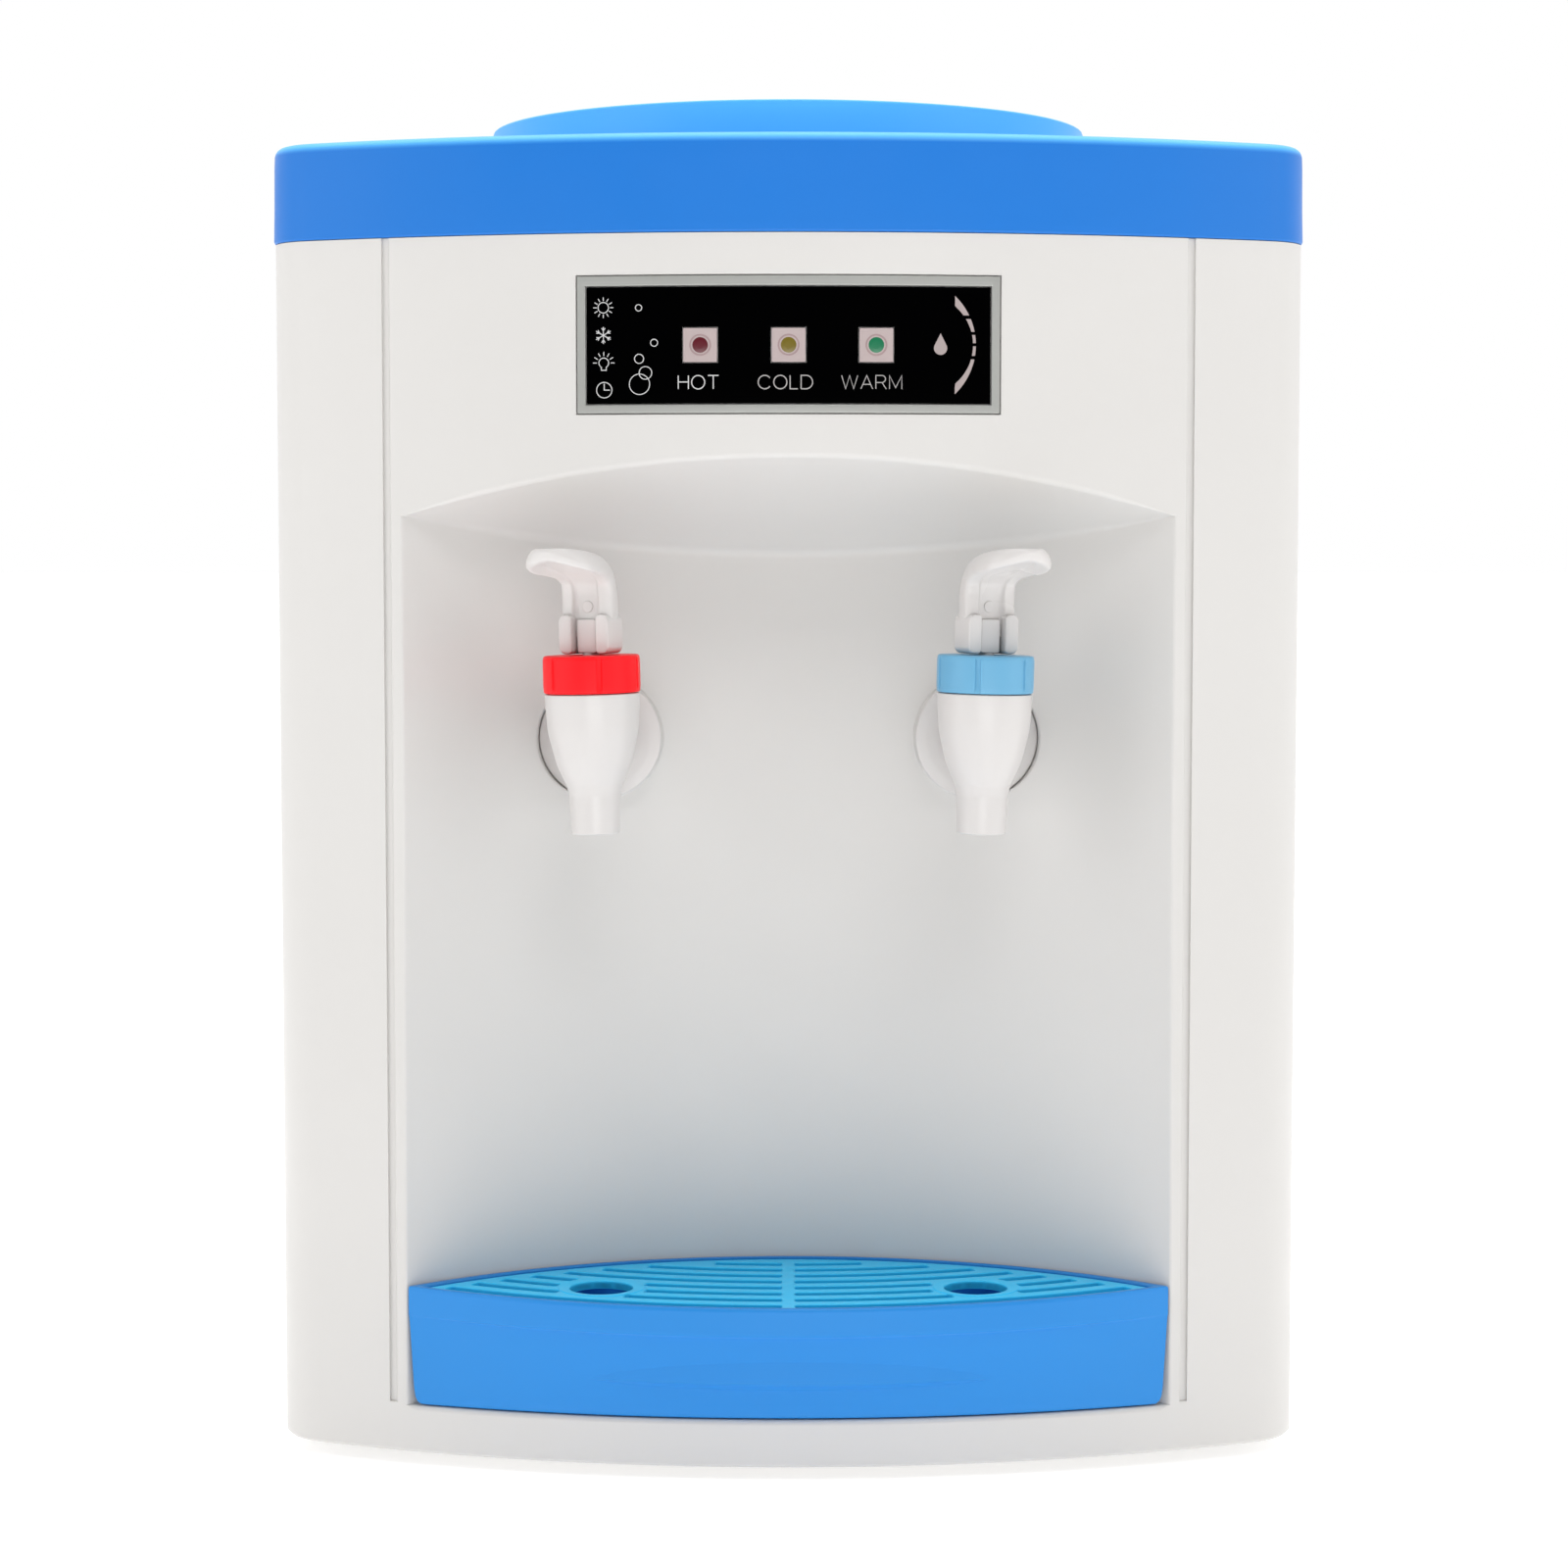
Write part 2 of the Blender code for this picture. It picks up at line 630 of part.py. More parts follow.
def make_bottle_seat():
    rim = COLLAR_INNER - GAP
    ledge = SEAT_LEDGE_Z + GAP
    throat = LID_HOLE_RADIUS - 0.0004
    inner = [(rim, 0.3925), (0.0850, 0.3925), (0.0790, 0.3870), (0.0640, 0.3790), (0.0500, 0.3735)]
    inner += [(0.0390, 0.3705), (0.0355, 0.3660), (0.0345, 0.3385), (0.0330, 0.3370)]
    inner += [(0.0130, 0.3370), (0.0130, 0.3050)]
    outer = [(SPOUT_RADIUS, 0.3050), (SPOUT_RADIUS, 0.3348), (0.0355, 0.3348), (0.0367, 0.3375)]
    outer += [(0.0377, 0.3655), (0.0400, 0.3683), (0.0508, 0.3712), (0.0650, 0.3768)]
    outer += [(0.0800, 0.3847), (throat, 0.3880), (throat, ledge), (rim, ledge)]
    seat = add_turned("bottle_seat", inner + outer, "seat_white", sides=30)
    return seat


def make_bottle_probe():
    low = 0.3370 + GAP
    profile = [(0, 0.3840), (0.0028, 0.3830), (0.0095, 0.3720), (0.0095, 0.3393), (0.0160, 0.3393)]
    profile += [(0.0160, low), (0.0060, low), (0.0060, 0.3680), (0, 0.3710)]
    probe = add_turned("bottle_probe", profile, "seat_white", sides=16)
    ports = [
        box_mesh("port_x", (-0.02, -0.0020, 0.3450), (0.02, 0.0020, 0.3620)),
        box_mesh("port_y", (-0.0020, -0.02, 0.3451), (0.0020, 0.02, 0.3619)),
    ]
    for port in ports:
        cut(probe, port)
    return probe


# ------------------------------------------------------------------ display
def make_display():
    half, low, high = DISPLAY_HALF_WIDTH, DISPLAY_LOW_Z, DISPLAY_HIGH_Z
    bezel_mesh = front_band("display_bezel", -half, half, low, high, -0.0002, 0.0012)
    bezel = add_part("display_bezel", bezel_mesh, "bezel_silver")
    half, low, high = LENS_HALF_WIDTH, LENS_LOW_Z, LENS_HIGH_Z
    cut(bezel, front_band("bezel_window", -half, half, low, high, -0.003, 0.005))
    half, low, high = half - GAP, low + GAP, high - GAP
    lens_mesh = front_band("display_lens", -half, half, low, high, 0.0001, 0.0012)
    lens = add_part("display_lens", lens_mesh, "lens_black")
    holes = []
    reach = LAMP_HALF + GAP
    for x in LAMP_XS.values():
        hole_low = (x - reach, -0.14, LAMP_Z - reach)
        hole_high = (x + reach, -0.12, LAMP_Z + reach)
        holes.append(box_mesh("hole", hole_low, hole_high))
    cut(lens, joined_mesh("lamp_holes", holes))
    for name, x in LAMP_XS.items():
        front_y = front_surface(x, -0.0001)
        low = (x - LAMP_HALF, front_y, LAMP_Z - LAMP_HALF)
        high = (x + LAMP_HALF, front_y + 0.0025, LAMP_Z + LAMP_HALF)
        add_part(f"lamp_window_{name}", box_mesh(name, low, high), "lamp_white")
    board = box_mesh("display_board", (-0.054, -0.1262, 0.310), (0.054, -0.1246, 0.345))
    display_board = add_part("display_board", board, "board_green")
    leds = []
    for x in LAMP_XS.values():
        leds.append(rod_mesh("led", (x, -0.1295, LAMP_Z), (x, -0.1255, LAMP_Z), 0.0025, 16))
    leds.append(box_mesh("chip", (-0.012, -0.1250, 0.3150), (0.012, -0.1215, 0.3230)))
    leds.append(box_mesh("plug_in", (0.030, -0.1250, 0.3200), (0.045, -0.1180, 0.3320)))
    join(display_board, joined_mesh("leds", leds))


# ------------------------------------------------------------------ taps
def tap_frame(name, side):
    """An empty on the inlet's axis. Its z axis is the leaning axis of the tap."""
    empty = bpy.data.objects.new(name, None)
    PARTS.objects.link(empty)
    empty.location = (side * TAP_X, TAP_Y, TAP_Z)
    empty.rotation_euler = (0, side * TAP_LEAN, 0)
    return empty


def make_tap_body(name, tap):
    neck_top = 0.0233
    outer = [(0, neck_top), (0.0119, neck_top), (0.0119, 0.0148), (0.01375, 0.0148)]
    outer += [(0.01355, 0.0083), (0.01285, 0.0018), (0.01095, -0.0042), (0.0083, -0.0107)]
    outer += [(0.0076, -0.0142)]
    outer += [(0.0068, -0.0252), (0.0066, -0.0258), (0, -0.0258)]
    body = add_part(name, turned_mesh(name, outer, 20), "tap_white", parent=tap)
    join(body, rod_mesh("inlet", (0, 0.0080, 0), (0, INLET_END, 0), INLET_RADIUS, 16), parent=tap)
    stop_ring = rod_mesh("stop", (0, 0.0320, 0), (0, FLANGE_Y - TAP_Y - GAP, 0), 0.0100, 16)
    join(body, stop_ring, parent=tap)
    chamber = [(0, neck_top + 0.002), (0.0100, neck_top + 0.002), (0.0100, 0.0140), (0.0115, 0.0110)]
    chamber += [(0.0112, 0.0010), (0.0085, -0.0057), (0.0050, -0.0102), (0.0050, -0.0280)]
    chamber += [(0, -0.0280)]
    cut(body, turned_mesh("chamber", chamber, 20), parent=tap)
    cut(body, rod_mesh("bore", (0, 0.0060, 0), (0, INLET_END + 0.01, 0), 0.0042, 12), parent=tap)
    return body


def make_tap_cap(name, tap, finish):
    under = CAP_HIGH - 0.0020
    profile = [(0.0034, CAP_HIGH), (0.0133, CAP_HIGH), (CAP_RADIUS, CAP_HIGH - 0.0008)]
    profile += [(CAP_RADIUS, CAP_LOW + 0.0005), (0.0136, CAP_LOW), (0.0122, CAP_LOW)]
    profile += [(0.0122, under), (0.0034, under)]
    cap = add_part(name, turned_mesh(name, profile, 24), finish, parent=tap)
    grips = []
    for i in range(6):
        grip_low, grip_high = (-0.0005, 0.0137, CAP_LOW - 0.001), (0.0005, 0.0160, CAP_HIGH - 0.0018)
        grip = box_mesh("grip", grip_low, grip_high)
        grip.transform(Matrix.Rotation(math.tau * i / 6 + math.radians(12), 4, "Z"))
        grips.append(grip)
    cut(cap, joined_mesh("grips", grips), parent=tap)
    return cap


def lever_arm_mesh():
    """The bent arm and its arched paddle, as a loft of rounded sections along the middle line.

    Each station holds y, z, half width, half thickness and how far its sides droop, from the pin up
    and forward.
    """
    stations = [
        (0.0012, 0.0020, 0.0081, 0.0042, 0.0),
        (0.0018, 0.0080, 0.0080, 0.0038, 0.0),
        (0.0014, 0.0125, 0.0080, 0.0031, 0.0),
        (-0.0008, 0.0160, 0.0083, 0.0025, 0.0004),
        (-0.0048, 0.0187, 0.0092, 0.0020, 0.0014),
        (-0.0100, 0.0206, 0.0106, 0.0017, 0.0026),
        (-0.0155, 0.0220, 0.0110, 0.0016, 0.0028),
        (-0.0205, 0.0230, 0.0102, 0.0015, 0.0024),
        (-0.0245, 0.0237, 0.0077, 0.0013, 0.0014),
        (-0.0268, 0.0240, 0.0038, 0.0010, 0.0004),
    ]
    rings = []
    for i, (y, z, half_width, half_depth, droop) in enumerate(stations):
        before = stations[max(i - 1, 0)]
        after = stations[min(i + 1, len(stations) - 1)]
        along = Vector((0, after[0] - before[0], after[1] - before[1])).normalized()
        across = Vector((1, 0, 0))
        up = along.cross(across)
        ring = []
        for k in range(LEVER_SIDES):
            angle = math.tau * (k + 0.5) / LEVER_SIDES
            wide, deep = [math.copysign(abs(c) ** 0.7, c) for c in (math.cos(angle), math.sin(angle))]
            offset = across * half_width * wide + up * half_depth * deep
            ring.append(Vector((0, y, z - droop * wide**2)) + offset)
        rings.append(ring)
    return loft_mesh("lever_arm", rings)


def make_lever(name, tap, yaw):
    place = {"parent": tap, "location": (0, 0, PIVOT_RISE), "rotation": (0, 0, yaw)}
    lugs = box_mesh(name, (-0.0083, -0.0048, -0.0059), (0.0083, 0.0046, 0.0056), 0.0016)
    lever = add_part(name, lugs, "tap_white", **place)
    join(lever, lever_arm_mesh(), **place)
    cut(lever, box_mesh("head_slot", (-0.0035, -0.02, -0.012), (0.0035, 0.02, 0.0068)), **place)
    cut(lever, box_mesh("front_notch", (-0.0038, -0.02, 0.0060), (0.0038, 0.0006, 0.0130)), **place)
    hole = PIN_RADIUS + GAP
    cut(lever, rod_mesh("pin_hole", (-0.02, 0, 0), (0.02, 0, 0), hole, 12), **place)
    return lever


def make_stem(name, tap, yaw):
    place = {"parent": tap, "location": (0, 0, PIVOT_RISE), "rotation": (0, 0, yaw)}
    head = box_mesh(name, (-0.0031, -0.0032, -0.0056), (0.0031, 0.0043, 0.0042), 0.0008)
    stem = add_part(name, head, "tap_white", **place)
    join(stem, rod_mesh("shaft", (0, 0, -0.0352), (0, 0, -0.0030), 0.0024, 12), **place)
    join(stem, rod_mesh("collar", (0, 0, -0.0262), (0, 0, -0.0250), 0.0062, 14), **place)
    hole = PIN_RADIUS + GAP
    cut(stem, rod_mesh("pin_hole", (-0.02, 0, 0), (0.02, 0, 0), hole, 12), **place)
    return stem


def spring_route(radius, low, high, turns, points_per_turn=8):
    count = turns * points_per_turn
    route = []
    for i in range(count + 1):
        angle = math.tau * i / points_per_turn
        height = low + (high - low) * i / count
        route.append((radius * math.cos(angle), radius * math.sin(angle), height))
    return route


def make_tap(label, side, ring_finish):
    tap = tap_frame(f"{label}_tap", side)
    yaw = side * LEVER_YAW
    make_tap_body(f"{label}_tap_body", tap)
    make_tap_cap(f"{label}_tap_cap", tap, ring_finish)
    make_lever(f"{label}_tap_lever", tap, yaw)
    make_stem(f"{label}_tap_stem", tap, yaw)
    pin_place = {"parent": tap, "location": (0, 0, PIVOT_RISE), "rotation": (0, 0, yaw)}
    pin = rod_mesh(f"{label}_tap_pin", (-0.0080, 0, 0), (0.0080, 0, 0), PIN_RADIUS, 12)
    add_part(f"{label}_tap_pin", pin, "steel", **pin_place)
    plunger = [(0, -0.0033), (0.0066, -0.0033), (0.0079, -0.0049), (0.0053, -0.0090), (0, -0.0096)]
    add_turned(f"{label}_tap_plunger", plunger, "silicone", sides=16, parent=tap)
    route = spring_route(0.0048, 0.0084, 0.0230, 4)
    add_tube(f"{label}_tap_spring", route, 0.0006, "steel", parent=tap)
    flange_front, flange_back = FLANGE_Y - TAP_Y, FLANGE_Y - TAP_Y + 0.0014
    flange = [(0.0076, flange_front), (0.0175, flange_front), (FLANGE_RADIUS, flange_front + 0.0006)]
    flange += [(FLANGE_RADIUS, flange_back), (0.0076, flange_back)]
    backwards = (math.radians(-90), 0, 0)
    flange_name = f"{label}_tap_flange"
    add_turned(flange_name, flange, "tap_white", sides=28, parent=tap, rotation=backwards)
    nut_y = BOSS_BACK_Y + GAP - TAP_Y
    nut = rod_mesh(f"{label}_tap_nut", (0, nut_y, 0), (0, nut_y + 0.0065, 0), 0.0125, 6)
    nut_part = add_part(f"{label}_tap_nut", nut, "tap_white", parent=tap)
    nut_bore = rod_mesh("nut_bore", (0, 0.02, 0), (0, 0.09, 0), INLET_RADIUS + GAP, 16)
    cut(nut_part, nut_bore, parent=tap)


# ------------------------------------------------------------------ drip tray
def lens_ring(front_y, back_y, corner_x, z):
    return [(x, y, z) for x, y in lens_outline(front_y, back_y, corner_x)]


def make_drip_tray():
    step_y = TRAY_LIP_Y + 0.0018
    rings = [
        lens_ring(FRONT_Y + GAP, TRAY_BACK_Y - 0.0008, TRAY_CORNER_X - 0.0031, TRAY_LOW_Z),
        lens_ring(step_y, TRAY_BACK_Y, TRAY_CORNER_X - 0.0004, TRAY_STEP_Z - 0.0003),
        lens_ring(TRAY_LIP_Y + 0.0005, TRAY_BACK_Y, TRAY_CORNER_X - 0.0003, TRAY_STEP_Z + 0.0003),
        lens_ring(TRAY_LIP_Y, TRAY_BACK_Y, TRAY_CORNER_X, TRAY_TOP_Z),
    ]
    tray = add_part("drip_tray", loft_mesh("drip_tray", rings), "tray_blue")
    thick, rim = 0.0042, 0.0022
    ledge_z = GRILLE_LOW_Z - GAP
    floor_z = TRAY_LOW_Z + 0.0022
    low_corner = TRAY_CORNER_X - 0.0031 - 2 * thick
    bowl = [
        lens_ring(FRONT_Y + thick, TRAY_BACK_Y - 0.0008 - thick, low_corner, floor_z),
        lens_ring(step_y + thick, TRAY_BACK_Y - thick, TRAY_CORNER_X - 2 * thick, ledge_z),
        lens_ring(TRAY_LIP_Y + rim, TRAY_BACK_Y - rim, TRAY_CORNER_X - 2 * rim, ledge_z),
        lens_ring(TRAY_LIP_Y + rim, TRAY_BACK_Y - rim, TRAY_CORNER_X - 2 * rim, TRAY_TOP_Z + 0.003),
    ]
    cut(tray, loft_mesh("tray_bowl", bowl))
    return set_origin(tray, (0, FRONT_Y, TRAY_LOW_Z))


def slot_end(radius, centre_y, back_y, margin):
    """x where a slot's arc comes within margin of the grille's back edge."""
    sag = TRAY_CORNER_Y - back_y
    back_radius = (TRAY_CORNER_X**2 + sag**2) / (2 * abs(sag))
    back_centre = back_y - back_radius
    limit = back_radius - margin
    y = (radius**2 - limit**2 - centre_y**2 + back_centre**2) / (2 * (back_centre - centre_y))
    return math.sqrt(max(radius**2 - (y - centre_y) ** 2, 0.0))


def make_drip_grille():
    inset = 0.0025
    outline = lens_outline(TRAY_LIP_Y + inset, TRAY_BACK_Y - inset, TRAY_CORNER_X - 2.1 * inset)
    plate = outline_mesh("drip_grille", [outline], GRILLE_LOW_Z, GRILLE_HIGH_Z)
    grille = add_part("drip_grille", plate, "tray_blue")
    sag = TRAY_CORNER_Y - TRAY_LIP_Y
    lip_radius = (TRAY_CORNER_X**2 + sag**2) / (2 * sag)
    centre_y = TRAY_LIP_Y + lip_radius
    below, above = GRILLE_LOW_Z - 0.002, GRILLE_HIGH_Z + 0.002
    slots = []
    for i in range(SLOT_COUNT):
        radius = lip_radius - 0.0061 - SLOT_PITCH * i
        end = slot_end(radius, centre_y, TRAY_BACK_Y, 0.0075)
        if end < SPINE_HALF + 0.008:
            continue
        for side in (-1, 1):
            steps = max(2, round(end / 0.018))
            angles = spaced(math.asin(SPINE_HALF / radius), math.asin(end / radius), steps)
            outer = radius + SLOT_HALF
            inner = radius - SLOT_HALF
            near = [(side * outer * math.sin(a), centre_y - outer * math.cos(a)) for a in angles]
            far = [(side * inner * math.sin(a), centre_y - inner * math.cos(a)) for a in angles]
            slots.append(outline_mesh("slot", [near + far[::-1]], below, above))
    cut(grille, joined_mesh("slots", slots))
    for x in (-DRAIN_HOLE_X, DRAIN_HOLE_X):
        low, high = (x, DRAIN_HOLE_Y, GRILLE_LOW_Z), (x, DRAIN_HOLE_Y, GRILLE_HIGH_Z)
        join(grille, rod_mesh("ring", low, high, DRAIN_RING_RADIUS, 20))
        low, high = (x, DRAIN_HOLE_Y, below), (x, DRAIN_HOLE_Y, above)
        cut(grille, rod_mesh("hole", low, high, DRAIN_HOLE_RADIUS, 24))
    return set_origin(grille, (0, FRONT_Y, GRILLE_LOW_Z))


# ------------------------------------------------------------------ cold side
def port_meshes(ports, top_z, bottom_z, radius):
    return [rod_mesh("port", (x, y, bottom_z), (x, y, top_z), radius, 12) for x, y in ports]


def make_cold_tank():
    inner = COLD_RADIUS - TANK_SHEET
    floor = COLD_LOW_Z + TANK_SHEET
    profile = [(COLD_RADIUS, COLD_TOP_Z), (COLD_RADIUS, COLD_LOW_Z), (0, COLD_LOW_Z)]
    profile += [(0, floor), (inner, floor), (inner, COLD_TOP_Z)]
    tank = add_part("cold_tank", turned_mesh("cold_tank", profile, 30), "steel")
    ports = (COLD_PORT, FEED_PORT)
    join(tank, joined_mesh("ports", port_meshes(ports, floor - 0.0002, PORT_END_Z, PORT_RADIUS)))
    cut(tank, joined_mesh("bores", port_meshes(ports, floor + 0.003, PORT_END_Z - 0.003, 0.0035)))
    lid_low = COLD_TOP_Z + GAP
    lid = outline_mesh(
        "cold_tank_lid",
        [arc((0, 0), COLD_RADIUS, 0, 345, 23), arc((0, 0), SPOUT_RADIUS + 0.0005, 0, 340, 17)],
        lid_low,
        lid_low + 0.0020,
    )
    add_part("cold_tank_lid", lid, "seat_white")
    baffle = [arc((0, 0), inner - 0.0005, 0, 345, 23), arc((0, 0), 0.008, 0, 330, 11)]
    for turn in (0.5, 2.6, 4.7):
        centre = (0.035 * math.cos(turn), 0.035 * math.sin(turn))
        baffle.append(arc(centre, 0.004, 0, 315, 7))
    add_part("tank_baffle", outline_mesh("tank_baffle", baffle, 0.270, 0.2720), "seat_white")


def make_foam():
    inner = COLD_RADIUS + GAP
    profile = [(FOAM_RADIUS, COLD_TOP_Z), (FOAM_RADIUS, 0.2235), (0, 0.2235)]
    profile += [(0, COLD_LOW_Z - GAP), (inner, COLD_LOW_Z - GAP), (inner, COLD_TOP_Z)]
    foam = add_part("cold_tank_foam", turned_mesh("cold_tank_foam", profile, 30), "foam")
    holes = port_meshes((COLD_PORT, FEED_PORT), COLD_LOW_Z + 0.001, PORT_END_Z, PORT_RADIUS + GAP)
    cut(foam, joined_mesh("port_holes", holes))
    reach = BLOCK_HALF + GAP
    low = (-reach, 0.030, COOLER_Z - reach)
    cut(foam, box_mesh("block_opening", low, (reach, 0.080, COOLER_Z + reach)))


def make_cooler():
    start = COLD_RADIUS + GAP
    stack = (("cold_block", 0.0197, "aluminium"), ("peltier_module", 0.0040, "ceramic"))
    for name, depth, finish in stack:
        low = (-BLOCK_HALF, start, COOLER_Z - BLOCK_HALF)
        high = (BLOCK_HALF, start + depth, COOLER_Z + BLOCK_HALF)
        add_part(name, box_mesh(name, low, high), finish)
        start += depth + GAP
    half = HEATSINK_HALF
    low, high = (-half, start, FAN_Z - half), (half, start + 0.0050, FAN_Z + half)
    sink = add_part("heat_sink", box_mesh("heat_sink", low, high), "aluminium")
    fins = []
    fin_count = 11
    for x in spaced(-half + 0.0007, half - 0.0007, fin_count - 1):
        low = (x - 0.0006, start + 0.0045, FAN_Z - half + 0.0001)
        high = (x + 0.0006, FAN_FRONT_Y - GAP, FAN_Z + half - 0.0001)
        fins.append(box_mesh("fin", low, high))
    join(sink, joined_mesh("fins", fins))


def make_fan():
    low = (-FAN_HALF, FAN_FRONT_Y, FAN_Z - FAN_HALF)
    high = (FAN_HALF, FAN_BACK_Y, FAN_Z + FAN_HALF)
    frame = add_part("fan_frame", box_mesh("fan_frame", low, high), "black_plastic")
    bore = rod_mesh("fan_bore", (0, 0.09, FAN_Z), (0, 0.15, FAN_Z), FAN_BORE, 36)
    cut(frame, bore)
    arm_front = FAN_BACK_Y - 0.0030
    join(frame, rod_mesh("mount", (0, arm_front, FAN_Z), (0, FAN_BACK_Y, FAN_Z), 0.0165, 24))
    arm_half = FAN_BORE + 0.001
    for turn in (45, 135):
        arm_low, arm_high = (-arm_half, arm_front, -0.0020), (arm_half, FAN_BACK_Y, 0.0020)
        arm = box_mesh("arm", arm_low, arm_high)
        arm.transform(Matrix.Rotation(math.radians(turn), 4, "Y"))
        join(frame, arm, location=(0, 0, FAN_Z))
    centre = (0, 0, FAN_Z)
    front, back = FAN_FRONT_Y + 0.0030, arm_front - 0.0010
    hub = rod_mesh("fan_rotor", (0, front, 0), (0, back, 0), 0.0180, 28)
    rotor = add_part("fan_rotor", hub, "black_plastic", location=centre)
    blades = []
    middle = (front + back) / 2
    for i in range(7):
        blade = box_mesh("blade", (0.0165, -0.0005, -0.0085), (0.0415, 0.0005, 0.0085))
        pitch = Matrix.Rotation(math.radians(48), 4, "X")
        spread = Matrix.Rotation(math.tau * i / 7, 4, "Y")
        blade.transform(Matrix.Translation((0, middle, 0)) @ spread @ pitch)
        blades.append(blade)
    join(rotor, joined_mesh("blades", blades), location=centre)


# ------------------------------------------------------------------ hot side
def make_hot_side():
    place = Vector((0, HOT_CENTRE_Y, 0))
    low, top, radius, sheet = HOT_LOW_Z, HOT_TOP_Z, HOT_RADIUS, 0.0010
    outer = [(0, top), (0.034, top), (0.041, top - 0.0025), (radius, top - 0.008)]
    outer += [(radius, low + 0.008), (0.041, low + 0.0025), (0.034, low), (0, low)]
    tank = add_part("hot_tank", turned_mesh("hot_tank", outer, 28), "steel", location=place)
    outlet = (HOT_OUTLET[0], HOT_OUTLET[1])
    ends = [
        ((outlet[0], outlet[1], top - 0.003), (outlet[0], outlet[1], HOT_OUTLET_Z)),
        ((0.0400, HOT_CENTRE_Y, 0.060), (0.0600, HOT_CENTRE_Y, 0.060)),
        ((0, HOT_CENTRE_Y + 0.0400, 0.060), (0, 0.0900, 0.060)),
    ]
    join(tank, joined_mesh("tank_ports", [rod_mesh("port", a, b, PORT_RADIUS, 12) for a, b in ends]))
    inner = [(r if r == 0 else r - sheet, z - math.copysign(sheet, z - 0.1)) for r, z in outer]
    cut(tank, turned_mesh("tank_space", inner, 28), location=place)
    bores = []
    for start, end in ends:
        along = (Vector(end) - Vector(start)).normalized() * 0.003
        bores.append(rod_mesh("bore", Vector(start) - along, Vector(end) + along, 0.0035, 12))
    cut(tank, joined_mesh("tank_bores", bores))

    band_in, band_out = radius + GAP, radius + 0.0023
    profile = [(band_out, 0.115), (band_out, 0.075), (band_in, 0.075), (band_in, 0.115)]
    band = add_part("heater_band", turned_mesh("heater_band", profile, 28), "steel", location=place)
    ear_low, ear_high = (-0.058, HOT_CENTRE_Y - 0.004, 0.080), (-0.0455, HOT_CENTRE_Y + 0.004, 0.110)
    join(band, box_mesh("ears", ear_low, ear_high))
    slit_low = (-0.070, HOT_CENTRE_Y - 0.0012, 0.070)
    slit_high = (-0.040, HOT_CENTRE_Y + 0.0012, 0.120)
    cut(band, box_mesh("slit", slit_low, slit_high))

    x, y = 0.018, HOT_CENTRE_Y
    thermostat_low = top + GAP
    disc = rod_mesh("hot_tank_thermostat", (x, y, thermostat_low), (x, y, top + 0.0085), 0.008, 20)
    thermostat = add_part("hot_tank_thermostat", disc, "black_plastic")
    tabs = [
        box_mesh("tab", (x - 0.005, y - 0.003, top + 0.008), (x - 0.004, y + 0.003, top + 0.015)),
        box_mesh("tab", (x + 0.004, y - 0.003, top + 0.008), (x + 0.005, y + 0.003, top + 0.015)),
    ]
    join(thermostat, joined_mesh("tabs", tabs))

    base_top = SKIRT_Z + 0.003 + GAP
    shelf_low = (-0.045, HOT_CENTRE_Y - 0.045, 0.0425)
    shelf_high = (0.045, HOT_CENTRE_Y + 0.045, low - GAP)
    shelf = box_mesh("hot_tank_bracket", shelf_low, shelf_high)
    bracket = add_part("hot_tank_bracket", shelf, "steel")
    legs = []
    for sign_x in (-1, 1):
        x = sign_x * 0.0438
        leg_low = (x - 0.0010, HOT_CENTRE_Y - 0.0448, base_top)
        legs.append(box_mesh("leg", leg_low, (x + 0.0010, HOT_CENTRE_Y + 0.0448, 0.0435)))
    join(bracket, joined_mesh("legs", legs))


def make_hoses():
    inlet_y = TAP_Y + INLET_END + GAP
    port_z = PORT_END_Z - GAP
    x, y = COLD_PORT
    cold = [(x, y, port_z), (x, y, 0.202), (0.034, -0.003, 0.191), (0.046, 0.003, 0.190)]
    cold += [(0.0560, -0.004, 0.203), (TAP_X, -0.022, TAP_Z), (TAP_X, inlet_y, TAP_Z)]
    add_tube("cold_hose", smooth_route(cold, 2), HOSE_RADIUS, "silicone")
    x, y = HOT_OUTLET
    hot = [(x, y, HOT_OUTLET_Z + GAP), (x, y, 0.176), (-0.027, 0.014, 0.199), (-0.047, 0.002, 0.2110)]
    hot += [(-TAP_X, -0.020, TAP_Z), (-TAP_X, inlet_y, TAP_Z)]
    add_tube("hot_hose", smooth_route(hot, 2), HOSE_RADIUS, "silicone")
    x, y = FEED_PORT
    feed = [(x, y, port_z), (x, y, 0.202), (0.026, 0.041, 0.186), (0.058, 0.038, 0.165)]
    feed += [(0.082, 0.034, 0.125), (0.084, 0.031, 0.080), (0.070, HOT_CENTRE_Y, 0.060)]
    feed += [(0.0603, HOT_CENTRE_Y, 0.060)]
    add_tube("hot_feed_hose", smooth_route(feed, 2), HOSE_RADIUS, "silicone")
    drain = [(0, 0.0903, 0.060), (0, 0.099, 0.060), (0.010, 0.111, 0.054), (DRAIN_X, 0.123, DRAIN_Z)]
    drain += [(DRAIN_X, 0.132 - GAP, DRAIN_Z)]
    add_tube("drain_hose", smooth_route(drain, 2), HOSE_RADIUS, "silicone")


